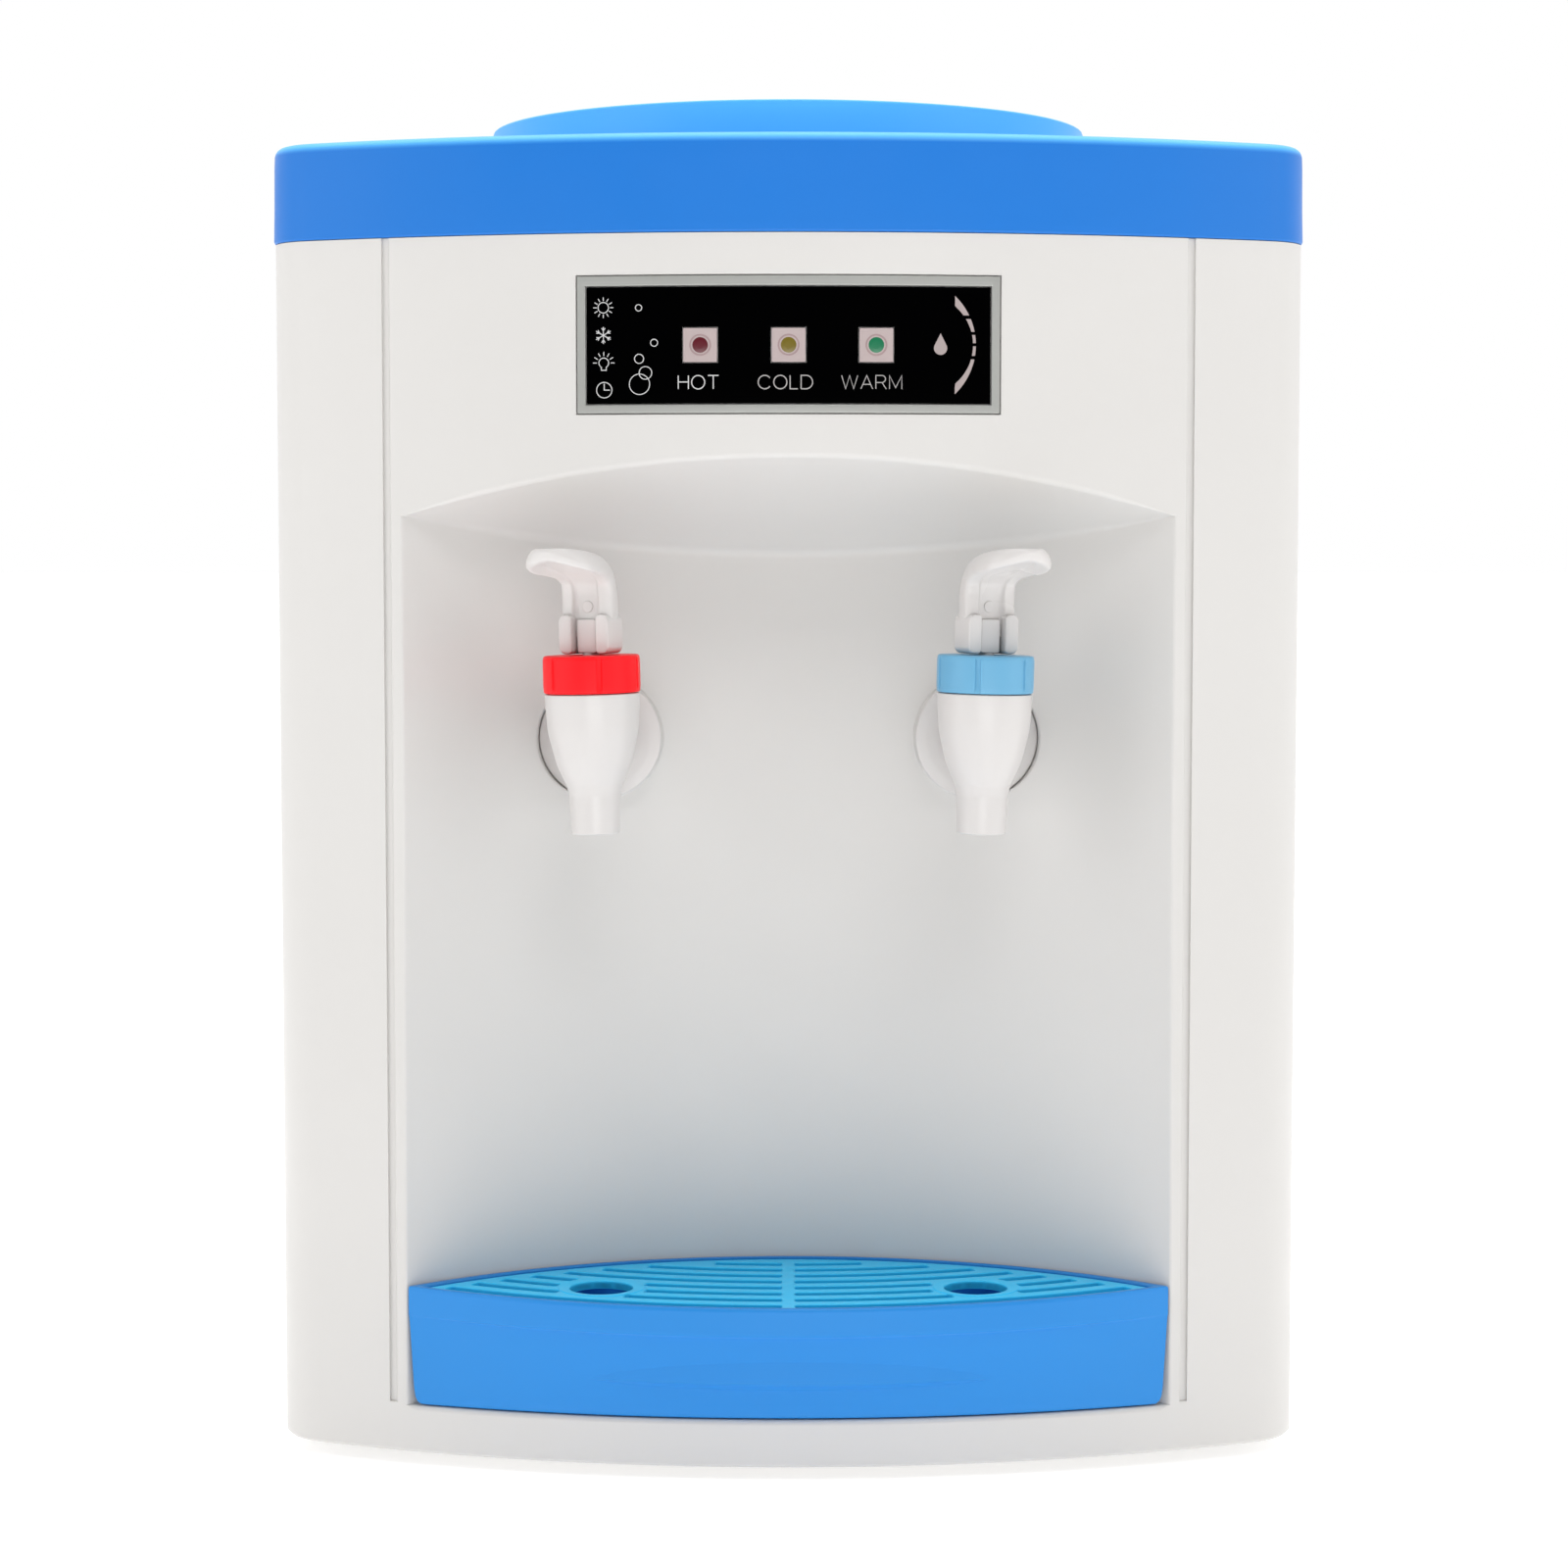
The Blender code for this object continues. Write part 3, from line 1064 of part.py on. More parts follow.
# ------------------------------------------------------------------ electrics and rear fittings
def make_power_board():
    low, high = (0.1290, -0.020, 0.060), (0.1306, 0.090, 0.190)
    board = add_part("power_board", box_mesh("power_board", low, high), "board_green")
    bits = [
        box_mesh("transformer", (0.1020, 0.010, 0.120), (0.1295, 0.045, 0.155)),
        box_mesh("relay", (0.1130, 0.055, 0.130), (0.1295, 0.071, 0.150)),
        box_mesh("heat_plate", (0.1080, -0.012, 0.070), (0.1295, -0.009, 0.110)),
        rod_mesh("capacitor", (0.1060, 0.020, 0.090), (0.1295, 0.020, 0.090), 0.009, 20),
        rod_mesh("small_capacitor", (0.1150, 0.060, 0.090), (0.1295, 0.060, 0.090), 0.005, 16),
    ]
    for y in (-0.012, 0.082):
        for z in (0.066, 0.184):
            bits.append(rod_mesh("standoff", (0.1303, y, z), (0.1489, y, z), 0.003, 12))
    join(board, joined_mesh("board_parts", bits))


def rocker_mesh(name, half_width):
    """A rocker with a shallow V across its face, about its own pivot."""
    section = [(0.0068, -0.0092), (0.0055, 0.0), (0.0068, 0.0092)]
    section += [(-0.0030, 0.0080), (-0.0030, -0.0080)]
    rings = [[(x, y, z) for y, z in section] for x in (-half_width, half_width)]
    return loft_mesh(name, rings)


def make_rear_fittings():
    half_x, half_z, thin = 0.0222, 0.0122, 0.0014
    face_low = (SWITCH_X - 0.0250, BACK_Y + GAP, SWITCH_Z - 0.0150)
    face_high = (SWITCH_X + 0.0250, BACK_Y + 0.0020, SWITCH_Z + 0.0150)
    bezel = add_part("switch_bezel", box_mesh("switch_bezel", face_low, face_high), "black_plastic")
    body_low = (SWITCH_X - half_x, 0.1270, SWITCH_Z - half_z)
    body_high = (SWITCH_X + half_x, BACK_Y + 0.0010, SWITCH_Z + half_z)
    join(bezel, box_mesh("switch_body", body_low, body_high))
    pockets = []
    for sign in (-1, 1):
        x = SWITCH_X + sign * 0.0105
        low = (x - 0.0101, 0.1290, SWITCH_Z - half_z + thin)
        pockets.append(box_mesh("pocket", low, (x + 0.0101, 0.160, SWITCH_Z + half_z - thin)))
    cut(bezel, joined_mesh("pockets", pockets))
    for name, sign, finish in (("hot_switch", -1, "hot_red"), ("cold_switch", 1, "cold_blue")):
        pivot = (SWITCH_X + sign * 0.0105, SWITCH_PIVOT_Y, SWITCH_Z)
        add_part(name, rocker_mesh(name, 0.0097), finish, location=pivot, rotation=(SWITCH_TILT, 0, 0))

    backwards = (math.radians(-90), 0, 0)
    front, back = COVER_FRONT_Y - GAP, BACK_Y + GAP
    gland = [(0.0035, REAR_LIMIT_Y), (0.0080, REAR_LIMIT_Y), (0.0100, REAR_LIMIT_Y - 0.0012)]
    gland += [(0.0100, back), (0.0065, back), (0.0065, front), (0.0088, front), (0.0088, 0.1350)]
    gland += [(0.0035, 0.1350)]
    place = (GLAND_X, 0, GLAND_Z)
    add_turned("cord_gland", gland, "black_plastic", sides=16, location=place, rotation=backwards)
    plug = [(0, REAR_LIMIT_Y), (0.0085, REAR_LIMIT_Y), (0.0092, REAR_LIMIT_Y - 0.0008), (0.0092, back)]
    plug += [(0.0047, back), (0.0047, 0.1345), (0.0040, 0.1335), (0, 0.1335)]
    place = (DRAIN_X, 0, DRAIN_Z)
    add_turned("drain_plug", plug, "black_plastic", sides=16, location=place, rotation=backwards)


# ------------------------------------------------------------------ assembly
make_front_shell()
make_rear_shell()
make_rear_cover()
make_base_plate()
make_feet()
make_top_cover()
make_bottle_seat()
make_bottle_probe()
make_display()
make_tap("hot", -1, "hot_red")
make_tap("cold", 1, "cold_blue")
make_drip_tray()
make_drip_grille()
make_cold_tank()
make_foam()
make_cooler()
make_fan()
make_hot_side()
make_hoses()
make_power_board()
make_rear_fittings()
for made_part in PARTS.objects:
    if made_part.type == "MESH":
        shade_round(made_part)
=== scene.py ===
"""The looks of a countertop water dispenser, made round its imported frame. Metres, +Z up, front faces -Y."""

import json
import math

import bmesh
import bpy
from mathutils import Matrix, Vector


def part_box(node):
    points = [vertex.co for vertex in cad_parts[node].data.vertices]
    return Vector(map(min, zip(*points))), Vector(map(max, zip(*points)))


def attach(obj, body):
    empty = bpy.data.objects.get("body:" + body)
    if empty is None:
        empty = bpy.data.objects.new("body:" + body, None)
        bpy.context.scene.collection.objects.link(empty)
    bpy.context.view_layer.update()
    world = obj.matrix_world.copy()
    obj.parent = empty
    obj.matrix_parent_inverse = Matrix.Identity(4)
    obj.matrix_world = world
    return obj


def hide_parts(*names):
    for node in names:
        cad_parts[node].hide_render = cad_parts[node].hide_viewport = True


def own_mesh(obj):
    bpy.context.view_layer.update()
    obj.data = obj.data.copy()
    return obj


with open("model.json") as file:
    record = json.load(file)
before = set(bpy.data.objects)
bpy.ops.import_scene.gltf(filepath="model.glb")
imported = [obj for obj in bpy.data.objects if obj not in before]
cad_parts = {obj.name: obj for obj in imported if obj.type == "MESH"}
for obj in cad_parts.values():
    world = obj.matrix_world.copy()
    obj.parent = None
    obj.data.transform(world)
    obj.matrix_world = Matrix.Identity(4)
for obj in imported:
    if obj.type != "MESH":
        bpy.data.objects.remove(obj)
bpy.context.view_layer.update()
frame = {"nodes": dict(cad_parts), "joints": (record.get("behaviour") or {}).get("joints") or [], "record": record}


# ------------------------------------------------------------------ places, read from the frame
def low(node):
    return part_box(node)[0]


def high(node):
    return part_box(node)[1]


def middle(node):
    return (low(node) + high(node)) / 2


GAP = 0.0003  # running gap between neighbours
WALL = 0.0025

SIDE = high("front_shell").x
FRONT_Y = low("front_shell").y
SEAM_Y = high("front_shell").y
REAR_SEAM_Y = low("rear_shell").y
BACK_Y = high("rear_shell").y
SKIRT_Z = low("front_shell").z
TOP_Z = high("front_shell").z
FRONT_RADIUS = 0.3493
FRONT_CORNER = 0.020
BACK_CORNER = 0.015
ARC_CENTRE_Y = FRONT_Y + FRONT_RADIUS

BAND_Z = low("drip_tray").z - GAP
NICHE_HALF = high("drip_tray").x + 0.0002
NICHE_RADIUS = 0.164
NICHE_CENTRE_Y = high("drip_tray").y + 0.0004 - NICHE_RADIUS
NICHE_CORNER_Z = 0.2792
CEILING_RISE = 0.0166
CEILING_DROP = 0.0103
CEILING_CROWN = 0.0015
CREASE = 0.0007  # softness of the niche's upright edges
EDGE_SPREAD = 0.0009  # how much wider the niche is at its floor than at its arch

DISPLAY_LOW, DISPLAY_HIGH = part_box("display_bezel")
LENS_LOW, LENS_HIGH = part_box("display_lens")
LAMPS = {name: middle(f"lamp_window_{name}") for name in ("hot", "cold", "warm")}
LAMP_HALF = (high("lamp_window_cold").x - low("lamp_window_cold").x) / 2

JOINTS = {joint["name"]: joint for joint in frame["joints"]}
TAP_LEAN = math.radians(1.3)
PIVOT_RISE = 0.0323  # from the inlet's axis up to the lever's pin
PIVOT_X, _, PIVOT_Z = JOINTS["cold_lever_press"]["pos_m"]
TAP_X = PIVOT_X - PIVOT_RISE * math.sin(TAP_LEAN)
TAP_Z = PIVOT_Z - PIVOT_RISE * math.cos(TAP_LEAN)
FLANGE_Y = low("hot_tap_flange").y
FLANGE_RADIUS = (high("hot_tap_flange").z - low("hot_tap_flange").z) / 2
BOSS_Y = high("hot_tap_flange").y + GAP

LID_TOP_Z = 0.3880
COLLAR_BASE_Z = 0.3886
COLLAR_RADIUS = 0.0940

# ------------------------------------------------------------------ materials
MATERIALS = {}


def fill(tree, inputs, sockets):
    """Links each socket to an output, or sets it to a value."""
    for name, value in sockets.items():
        if isinstance(value, bpy.types.NodeSocket):
            tree.links.new(value, inputs[name])
        else:
            inputs[name].default_value = value


def add_node(tree, kind, output, sockets, **settings):
    """A new node with its settings and sockets; returns one of its outputs."""
    node = tree.nodes.new("ShaderNode" + kind)
    for name, value in settings.items():
        setattr(node, name, value)
    fill(tree, node.inputs, sockets)
    return node.outputs[output]


class Nodes:
    """A short way to build a material's node tree round its Principled shader."""

    def __init__(self, name, colour, roughness, metallic=0.0):
        self.material = bpy.data.materials.new(name)
        self.material.use_nodes = True
        self.material.diffuse_color = (*colour, 1.0)
        self.tree = self.material.node_tree
        self.colour, self.roughness = colour, roughness
        self.shade({"Base Color": (*colour, 1.0), "Roughness": roughness, "Metallic": metallic})
        self.place = self.add("TexCoord", "Object", {})
        MATERIALS[name] = self.material

    def shade(self, sockets):
        fill(self.tree, self.tree.nodes["Principled BSDF"].inputs, sockets)

    def add(self, kind, output, sockets, **settings):
        return add_node(self.tree, kind, output, sockets, **settings)

    def stretched(self, scale):
        return self.add("Mapping", "Vector", {"Scale": scale, "Vector": self.place})

    def noise(self, scale, detail=3.0, where=None):
        return self.add("TexNoise", "Fac", {"Scale": scale, "Detail": detail, "Vector": where or self.place})

    def ranged(self, value, start, end, near=0.15, far=0.85):
        sockets = {"From Min": near, "From Max": far, "To Min": start, "To Max": end, "Value": value}
        return self.add("MapRange", "Result", sockets, interpolation_type="SMOOTHSTEP")

    def blend(self, share, start, end):
        """Turns the base colour from start to end as the share grows."""
        sockets = {"A": start, "B": end, "Factor": share}
        self.shade({"Base Color": self.add("Mix", "Result", sockets, data_type="RGBA")})

    def mottle(self, value, amount):
        """Colour that drifts a little darker and a little lighter than the finish."""
        dark = [c * (1.0 - amount) for c in self.colour]
        light = [min(c * (1.0 + amount), 1.0) for c in self.colour]
        self.blend(self.ranged(value, 0.0, 1.0), (*dark, 1.0), (*light, 1.0))

    def paint_highlight_above(self, low_z, high_z, colour):
        """Paints the colour lighter between two heights, a painted highlight where top light falls."""
        height = self.add("SeparateXYZ", "Z", {"Vector": self.place})
        base = self.tree.nodes["Principled BSDF"].inputs["Base Color"].links[0].from_socket
        self.blend(self.ranged(height, 0.0, 1.0, low_z, high_z), base, (*colour, 1.0))

    def uneven_gloss(self, value, amount):
        spread = self.ranged(value, self.roughness - amount, self.roughness + amount)
        self.shade({"Roughness": spread})

    def bump(self, value, strength, distance):
        sockets = {"Strength": strength, "Distance": distance, "Height": value}
        self.shade({"Normal": self.add("Bump", "Normal", sockets)})


def moulded(name, colour, roughness, mottle=0.015, grain=0.04, coat=0.0, specular=0.5, metallic=0.0):
    """Moulded plastic or metal: a faint drift in colour and gloss, and a fine grain from the mould."""
    made = Nodes(name, colour, roughness, metallic)
    made.mottle(made.noise(9.0, 2.0), mottle)
    made.uneven_gloss(made.noise(30.0, 2.0), roughness * 0.15)
    made.bump(made.noise(1400.0, 1.0), grain, 0.00003)
    made.shade({"Coat Weight": coat, "Coat Roughness": 0.12, "Specular IOR Level": specular})
    return made


def brushed(name, colour, roughness, stretch):
    """Brushed metal: fine streaks in colour, gloss and height along one direction."""
    made = Nodes(name, colour, roughness, 1.0)
    streaks = made.noise(1.0, 6.0, made.stretched(stretch))
    made.mottle(streaks, 0.10)
    made.uneven_gloss(streaks, 0.08)
    made.bump(streaks, 0.15, 0.0001)
    made.shade({"Anisotropic": 0.5})


# name, colour, roughness, mottle, grain, coat, specular level, metallic
MOULDED = (
    ("white_plastic", (0.655, 0.640, 0.620), 0.40, 0.010, 0.04),
    ("lid_blue", (0.012, 0.174, 0.60), 0.42, 0.015, 0.03, 0.03, 0.28),
    ("tray_blue", (0.019, 0.243, 0.665), 0.36, 0.015, 0.03, 0.03, 0.28),
    # a lighter copy of the tray's blue for the grille: painted light standing in for the top light falling on it
    # in the niche
    ("grille_blue", (0.030, 0.58, 1.0), 0.38, 0.015, 0.03, 0.0, 0.30),
    ("seat_white", (0.57, 0.58, 0.60), 0.35, 0.01),
    ("tap_white", (0.635, 0.612, 0.598), 0.30, 0.008, 0.02, 0.06),
    ("hot_red", (0.92, 0.008, 0.014), 0.40, 0.03, 0.03, 0.0, 0.18),
    ("cold_blue", (0.130, 0.385, 0.60), 0.38, 0.03, 0.03),
    ("lens_black", (0.0003, 0.0003, 0.0004), 0.16, 0.10, 0.0, 0.0, 0.012),
    ("lamp_white", (0.44, 0.36, 0.355), 0.45, 0.08, 0.06),
    ("lamp_ring", (0.33, 0.235, 0.235), 0.45, 0.05),
    ("foam", (0.85, 0.84, 0.78), 0.90, 0.05, 0.60),
    ("silicone", (0.74, 0.77, 0.77), 0.38, 0.03),
    ("rubber", (0.03, 0.03, 0.03), 0.75, 0.20, 0.30),
    ("black_plastic", (0.02, 0.02, 0.02), 0.42, 0.15, 0.20),
    ("board_green", (0.02, 0.20, 0.08), 0.40, 0.10),
    ("ceramic", (0.85, 0.84, 0.80), 0.55, 0.03, 0.10),
    ("print_light", (0.60, 0.60, 0.60), 0.60, 0.08),
    ("print_dim", (0.40, 0.385, 0.38), 0.60, 0.08),
    ("print_rose", (0.36, 0.30, 0.295), 0.60, 0.08),
    ("led_red", (0.095, 0.001, 0.008), 0.35, 0.15, 0.0, 0.2),
    ("led_amber", (0.15, 0.11, 0.004), 0.35, 0.15, 0.0, 0.2),
    ("led_green", (0.003, 0.155, 0.065), 0.35, 0.15, 0.0, 0.2),
    ("bezel_silver", (0.385, 0.39, 0.37), 0.36, 0.02, 0.06, 0.0, 0.5, 0.25),
    ("screw_zinc", (0.62, 0.61, 0.58), 0.30, 0.06, 0.08, 0.0, 0.5, 1.0),
)


def make_materials():
    made = {row[0]: moulded(*row) for row in MOULDED}
    # painted highlight: the lid's top-edge fillet and collar are painted a lighter cyan, standing in for the top
    # light on them
    made["lid_blue"].paint_highlight_above(LID_TOP_Z - 0.0036, LID_TOP_Z - 0.0012, (0.105, 0.50, 0.98))
    brushed("steel", (0.60, 0.60, 0.62), 0.28, (60.0, 60.0, 2500.0))
    brushed("aluminium", (0.70, 0.71, 0.73), 0.35, (900.0, 60.0, 60.0))


def paint_nodes():
    """Every node that stays in view takes the finish of its material slot."""
    for part in frame["record"]["subparts"]:
        node = frame["nodes"][part["node"]]
        node.data.materials.clear()
        node.data.materials.append(MATERIALS[part["material_slot"]])


# ------------------------------------------------------------------ paths and meshes
def spaced(start, end, steps):
    return [start + (end - start) * i / steps for i in range(steps + 1)]


def lerp(a, b, t):
    return a + (b - a) * t


BACKWARD = Matrix.Rotation(math.radians(-90), 4, "X")
FORWARD = Matrix.Rotation(math.radians(90), 4, "X")
WRAPPED = {"wrap_rows": True, "wrap_columns": True}
CAPPED = {"wrap_columns": True, "cap_start": True, "cap_end": True}


def linked(name, data):
    """A new object in the scene."""
    made = bpy.data.objects.new(name, data)
    bpy.context.scene.collection.objects.link(made)
    return made


def box_corners(low_corner, high_corner, *radius):
    """The four corners of a rectangle, each with a rounding when one is given."""
    (x0, z0), (x1, z1) = low_corner, high_corner
    return [(x0, z0, *radius), (x1, z0, *radius), (x1, z1, *radius), (x0, z1, *radius)]


def rounded(corners, steps=4):
    """A path through (u, v) or (u, v, radius) corners, where a radius turns its corner into an arc."""
    path = []
    for i, (u, v, *radius) in enumerate(corners):
        here = Vector((u, v))
        if not radius:
            path.append((u, v))
            continue
        before = Vector(corners[i - 1][:2]) - here
        after = Vector(corners[(i + 1) % len(corners)][:2]) - here
        if min(before.length, after.length) < 1e-7:
            path += [(u, v)] * (steps + 1)
            continue
        turn = math.pi - before.angle(after)
        reach = radius[0] * math.tan(min(turn, 3.0) / 2)
        reach = min(reach, 0.49 * before.length, 0.49 * after.length)
        start, end = here + before.normalized() * reach, here + after.normalized() * reach
        weight = math.cos(turn / 2)
        for t in spaced(0.0, 1.0, steps):
            a, b, c = (1 - t) ** 2, 2 * t * (1 - t) * weight, t * t
            point = (start * a + here * b + end * c) / (a + b + c)
            path.append((point.x, point.y))
    return path


def finished(bm, name, sharp=32):
    """A mesh from a bmesh: doubles merged, faces outwards, round faces smooth."""
    bmesh.ops.remove_doubles(bm, verts=bm.verts, dist=2e-6)
    bmesh.ops.recalc_face_normals(bm, faces=bm.faces)
    mesh = bpy.data.meshes.new(name)
    bm.to_mesh(mesh)
    bm.free()
    mesh.shade_smooth()
    mesh.set_sharp_from_angle(angle=math.radians(sharp))
    return mesh


def weave(bm, rows, wrap_rows=False, wrap_columns=False, cap_start=False, cap_end=False):
    """Faces between rows of points; returns the rows of vertices."""
    grid = [[bm.verts.new(point) for point in row] for row in rows]
    after = grid[1:] + (grid[:1] if wrap_rows else [])
    for near, far in zip(grid, after):
        count = len(near)
        for j in range(count if wrap_columns else count - 1):
            k = (j + 1) % count
            bm.faces.new((near[j], near[k], far[k], far[j]))
    if cap_start:
        bm.faces.new(grid[0])
    if cap_end:
        bm.faces.new(grid[-1][::-1])
    return grid


def woven(name, rows, sharp=32, place=None, **joins):
    bm = bmesh.new()
    weave(bm, rows, **joins)
    if place is not None:
        bm.transform(place)
    return finished(bm, name, sharp)


def two_skins(outer, inner, hole=None, patched=None):
    """An outer and an inner grid of points made into one closed wall.

    hole(i, j) leaves a cell open through both skins. patched(i, j) leaves it for a patch.
    """
    bm = bmesh.new()
    skins = [[[bm.verts.new(point) for point in row] for row in skin] for skin in (outer, inner)]
    cells = {(i, j) for i in range(len(outer) - 1) for j in range(len(outer[0]) - 1)}
    if hole:
        cells = {cell for cell in cells if not hole(*cell)}
    for i, j in cells:
        if patched and patched(i, j):
            continue
        corners = ((i, j), (i, j + 1), (i + 1, j + 1), (i + 1, j))
        for skin in skins:
            bm.faces.new([skin[a][b] for a, b in corners])
        for k, step in enumerate(((-1, 0), (0, 1), (1, 0), (0, -1))):
            if (i + step[0], j + step[1]) not in cells:
                a, b = corners[k], corners[(k + 1) % 4]
                outside, inside = skins
                edge = (outside[a[0]][a[1]], outside[b[0]][b[1]])
                bm.faces.new((*edge, inside[b[0]][b[1]], inside[a[0]][a[1]]))
    return bm, skins


def turned(name, corners, sides, steps=4, place=None):
    """A turned piece: corners are (radius, height, rounding if any) round its half section."""
    profile = rounded(corners, steps)
    rows = []
    for angle in (math.tau * i / sides for i in range(sides)):
        rows.append([(r * math.cos(angle), r * math.sin(angle), z) for r, z in profile])
    return woven(name, rows, place=place, **WRAPPED)


def merged(name, meshes):
    """Several meshes as one."""
    bm = bmesh.new()
    for mesh in meshes:
        bm.from_mesh(mesh)
        bpy.data.meshes.remove(mesh)
    return finished(bm, name)


def plate(name, loops, thickness, round_edge, place):
    """A flat plate of thickness from outline loops, holes among them, with rounded edges."""
    curve = bpy.data.curves.new(name, "CURVE")
    curve.dimensions = "2D"
    curve.fill_mode = "BOTH"
    curve.extrude = thickness / 2 - round_edge
    curve.bevel_depth = round_edge
    curve.bevel_resolution = 2
    curve.offset = -round_edge
    for loop in loops:
        spline = curve.splines.new("POLY")
        spline.points.add(len(loop) - 1)
        for point, (x, y) in zip(spline.points, loop):
            point.co = (x, y, 0.0, 1.0)
        spline.use_cyclic_u = True
    holder = linked(name, curve)
    graph = bpy.context.evaluated_depsgraph_get()
    flat = bpy.data.meshes.new_from_object(holder.evaluated_get(graph))
    bpy.data.objects.remove(holder)
    bpy.data.curves.remove(curve)
    bm = bmesh.new()
    bm.from_mesh(flat)
    bpy.data.meshes.remove(flat)
    bm.transform(place)
    return finished(bm, name, 40)


def piece(name, mesh, finish, body, *replaced, slot=None):
    """Puts a finished piece on its body with its material, and hides the nodes it stands for. Its slot is not
    used.
    """
    made = linked(name, mesh)
    mesh.materials.clear()
    mesh.materials.append(MATERIALS[finish])
    normals = made.modifiers.new("Weighted normals", "WEIGHTED_NORMAL")
    normals.keep_sharp = True
    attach(made, body)
    if replaced:
        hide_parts(*replaced)
    return made


# ------------------------------------------------------------------ plan of the case
def front_y(x, inset=0.0):
    """y of the bowed front at x."""
    return ARC_CENTRE_Y - math.sqrt((FRONT_RADIUS - inset) ** 2 - x * x)


CORNER_X = SIDE - FRONT_CORNER
CORNER_REACH = FRONT_RADIUS - FRONT_CORNER
CORNER_Y = ARC_CENTRE_Y - math.sqrt(CORNER_REACH**2 - CORNER_X**2)
CORNER_SWEEP = math.asin(CORNER_X / CORNER_REACH)


def corner_stations(centre, radius, start, end, steps):
    """(plan point, outward normal) round one corner, angles in radians."""
    stations = []
    for angle in spaced(start, end, steps):
        normal = Vector((math.cos(angle), math.sin(angle)))
        stations.append((Vector(centre) + normal * radius, normal))
    return stations


def left_corner():
    return corner_stations((-CORNER_X, CORNER_Y), FRONT_CORNER, math.pi, math.pi * 1.5 - CORNER_SWEEP, 9)


def mirrored(stations):
    """Stations on the other side of the middle plane, in reversed order."""
    return [(Vector((-p.x, p.y)), Vector((-n.x, n.y)), *rest) for p, n, *rest in reversed(stations)]


def perimeter():
    """(plan point, outward normal) all round the case, dense enough for the lid."""
    left = left_corner()
    start = math.pi * 1.5 - CORNER_SWEEP
    front = corner_stations((0.0, ARC_CENTRE_Y), FRONT_RADIUS, start, 3 * math.pi - start, 48)
    rear_x, rear_y = SIDE - BACK_CORNER, BACK_Y - BACK_CORNER
    side = [(Vector((SIDE, y)), Vector((1, 0))) for y in spaced(CORNER_Y, rear_y, 18)]
    rear = corner_stations((rear_x, rear_y), BACK_CORNER, 0.0, math.pi / 2, 8)
    back = [(Vector((x, BACK_Y)), Vector((0, 1))) for x in spaced(rear_x, -rear_x, 32)]
    runs = (left, front, mirrored(left), side, rear, back, mirrored(rear), mirrored(side))
    return [station for run in runs for station in run[:-1]]


# ------------------------------------------------------------------ front shell
GROOVE_IN = 0.0009
GROOVE_EDGES = (0.1154, 0.1175)
GROOVE_END_Z = BAND_Z + 0.0008
RIM = 0.0003  # rounding of the groove's and the display pocket's rims
POCKET = 0.0015
TAP_WINDOW = 0.023  # half of the square left in the wall for each tap's seat


def pocket_stations(edge, depth, inward):
    """(place, depth) down one rim of a pocket whose inside lies towards inward, +1 or -1."""
    return [(edge - inward * RIM, 0.0), (edge - inward * RIM * 0.4, RIM * 0.2), (edge, RIM), (edge, depth)]


def niche_depth(x):
    """How far the niche's wall lies behind the front at x, eased to nothing at the upright edges."""
    gap = NICHE_CENTRE_Y + math.sqrt(NICHE_RADIUS**2 - x * x) - front_y(x)
    ease = max(CREASE - abs(gap), 0.0) / CREASE
    return max(gap, 0.0) + ease * ease * CREASE / 4


def clamped(value, least=0.0):
    return min(max(value, least), 1.0)


def edge_shift(x, z):
    """How far the points near the niche's upright edge move out, more towards the floor."""
    starts, grows_over, stops, fades_over = 0.101, 0.008, 0.1150, 0.0012
    still_at = 0.35  # share of the way down at which the edge stays where it is
    near = clamped((abs(x) - starts) / grows_over) * clamped((stops - abs(x)) / fades_over)
    height = clamped((NICHE_CORNER_Z - z) / (NICHE_CORNER_Z - BAND_Z), -0.1)
    return math.copysign(near * EDGE_SPREAD * (height - still_at), x)


def front_columns():
    """(plan point, outward normal, groove depth, display depth) across the front shell."""
    half = DISPLAY_HIGH.x + GAP
    inner, outer = TAP_X - TAP_WINDOW, TAP_X + TAP_WINDOW
    sunk = spaced(0.0, inner, 9) + spaced(inner, half - 0.0012, 7)[1:]
    plain = spaced(half + 0.0020, outer, 5) + spaced(outer, 0.1092, 9)[1:] + spaced(0.1102, 0.1128, 13)
    places = [(x, 0.0, POCKET) for x in sunk]
    places += [(x, 0.0, drop) for x, drop in pocket_stations(half, POCKET, -1)[::-1]]
    places += [(x, 0.0, 0.0) for x in plain + [0.1140]]
    for edge, inward in zip(GROOVE_EDGES, (1, -1)):
        places += [(x, drop, 0.0) for x, drop in pocket_stations(edge, GROOVE_IN, inward)[::inward]]
    places += [(x, 0.0, 0.0) for x in spaced(0.1200, 0.1365, 5)]
    columns = [(Vector((x, front_y(x))), Vector((0, -1)), groove, show) for x, groove, show in places]
    corner = [(p, n, 0.0, 0.0) for p, n in mirrored(left_corner())]
    ends = [(SIDE, y) for y in (-0.080, -0.072, SEAM_Y - 0.0005)]
    ends += [(SIDE - 0.00015, SEAM_Y - 0.00015), (SIDE - 0.0005, SEAM_Y)]
    right = columns + corner + [(Vector(end), Vector((1, 0)), 0.0, 0.0) for end in ends]
    return mirrored(right[1:]) + right


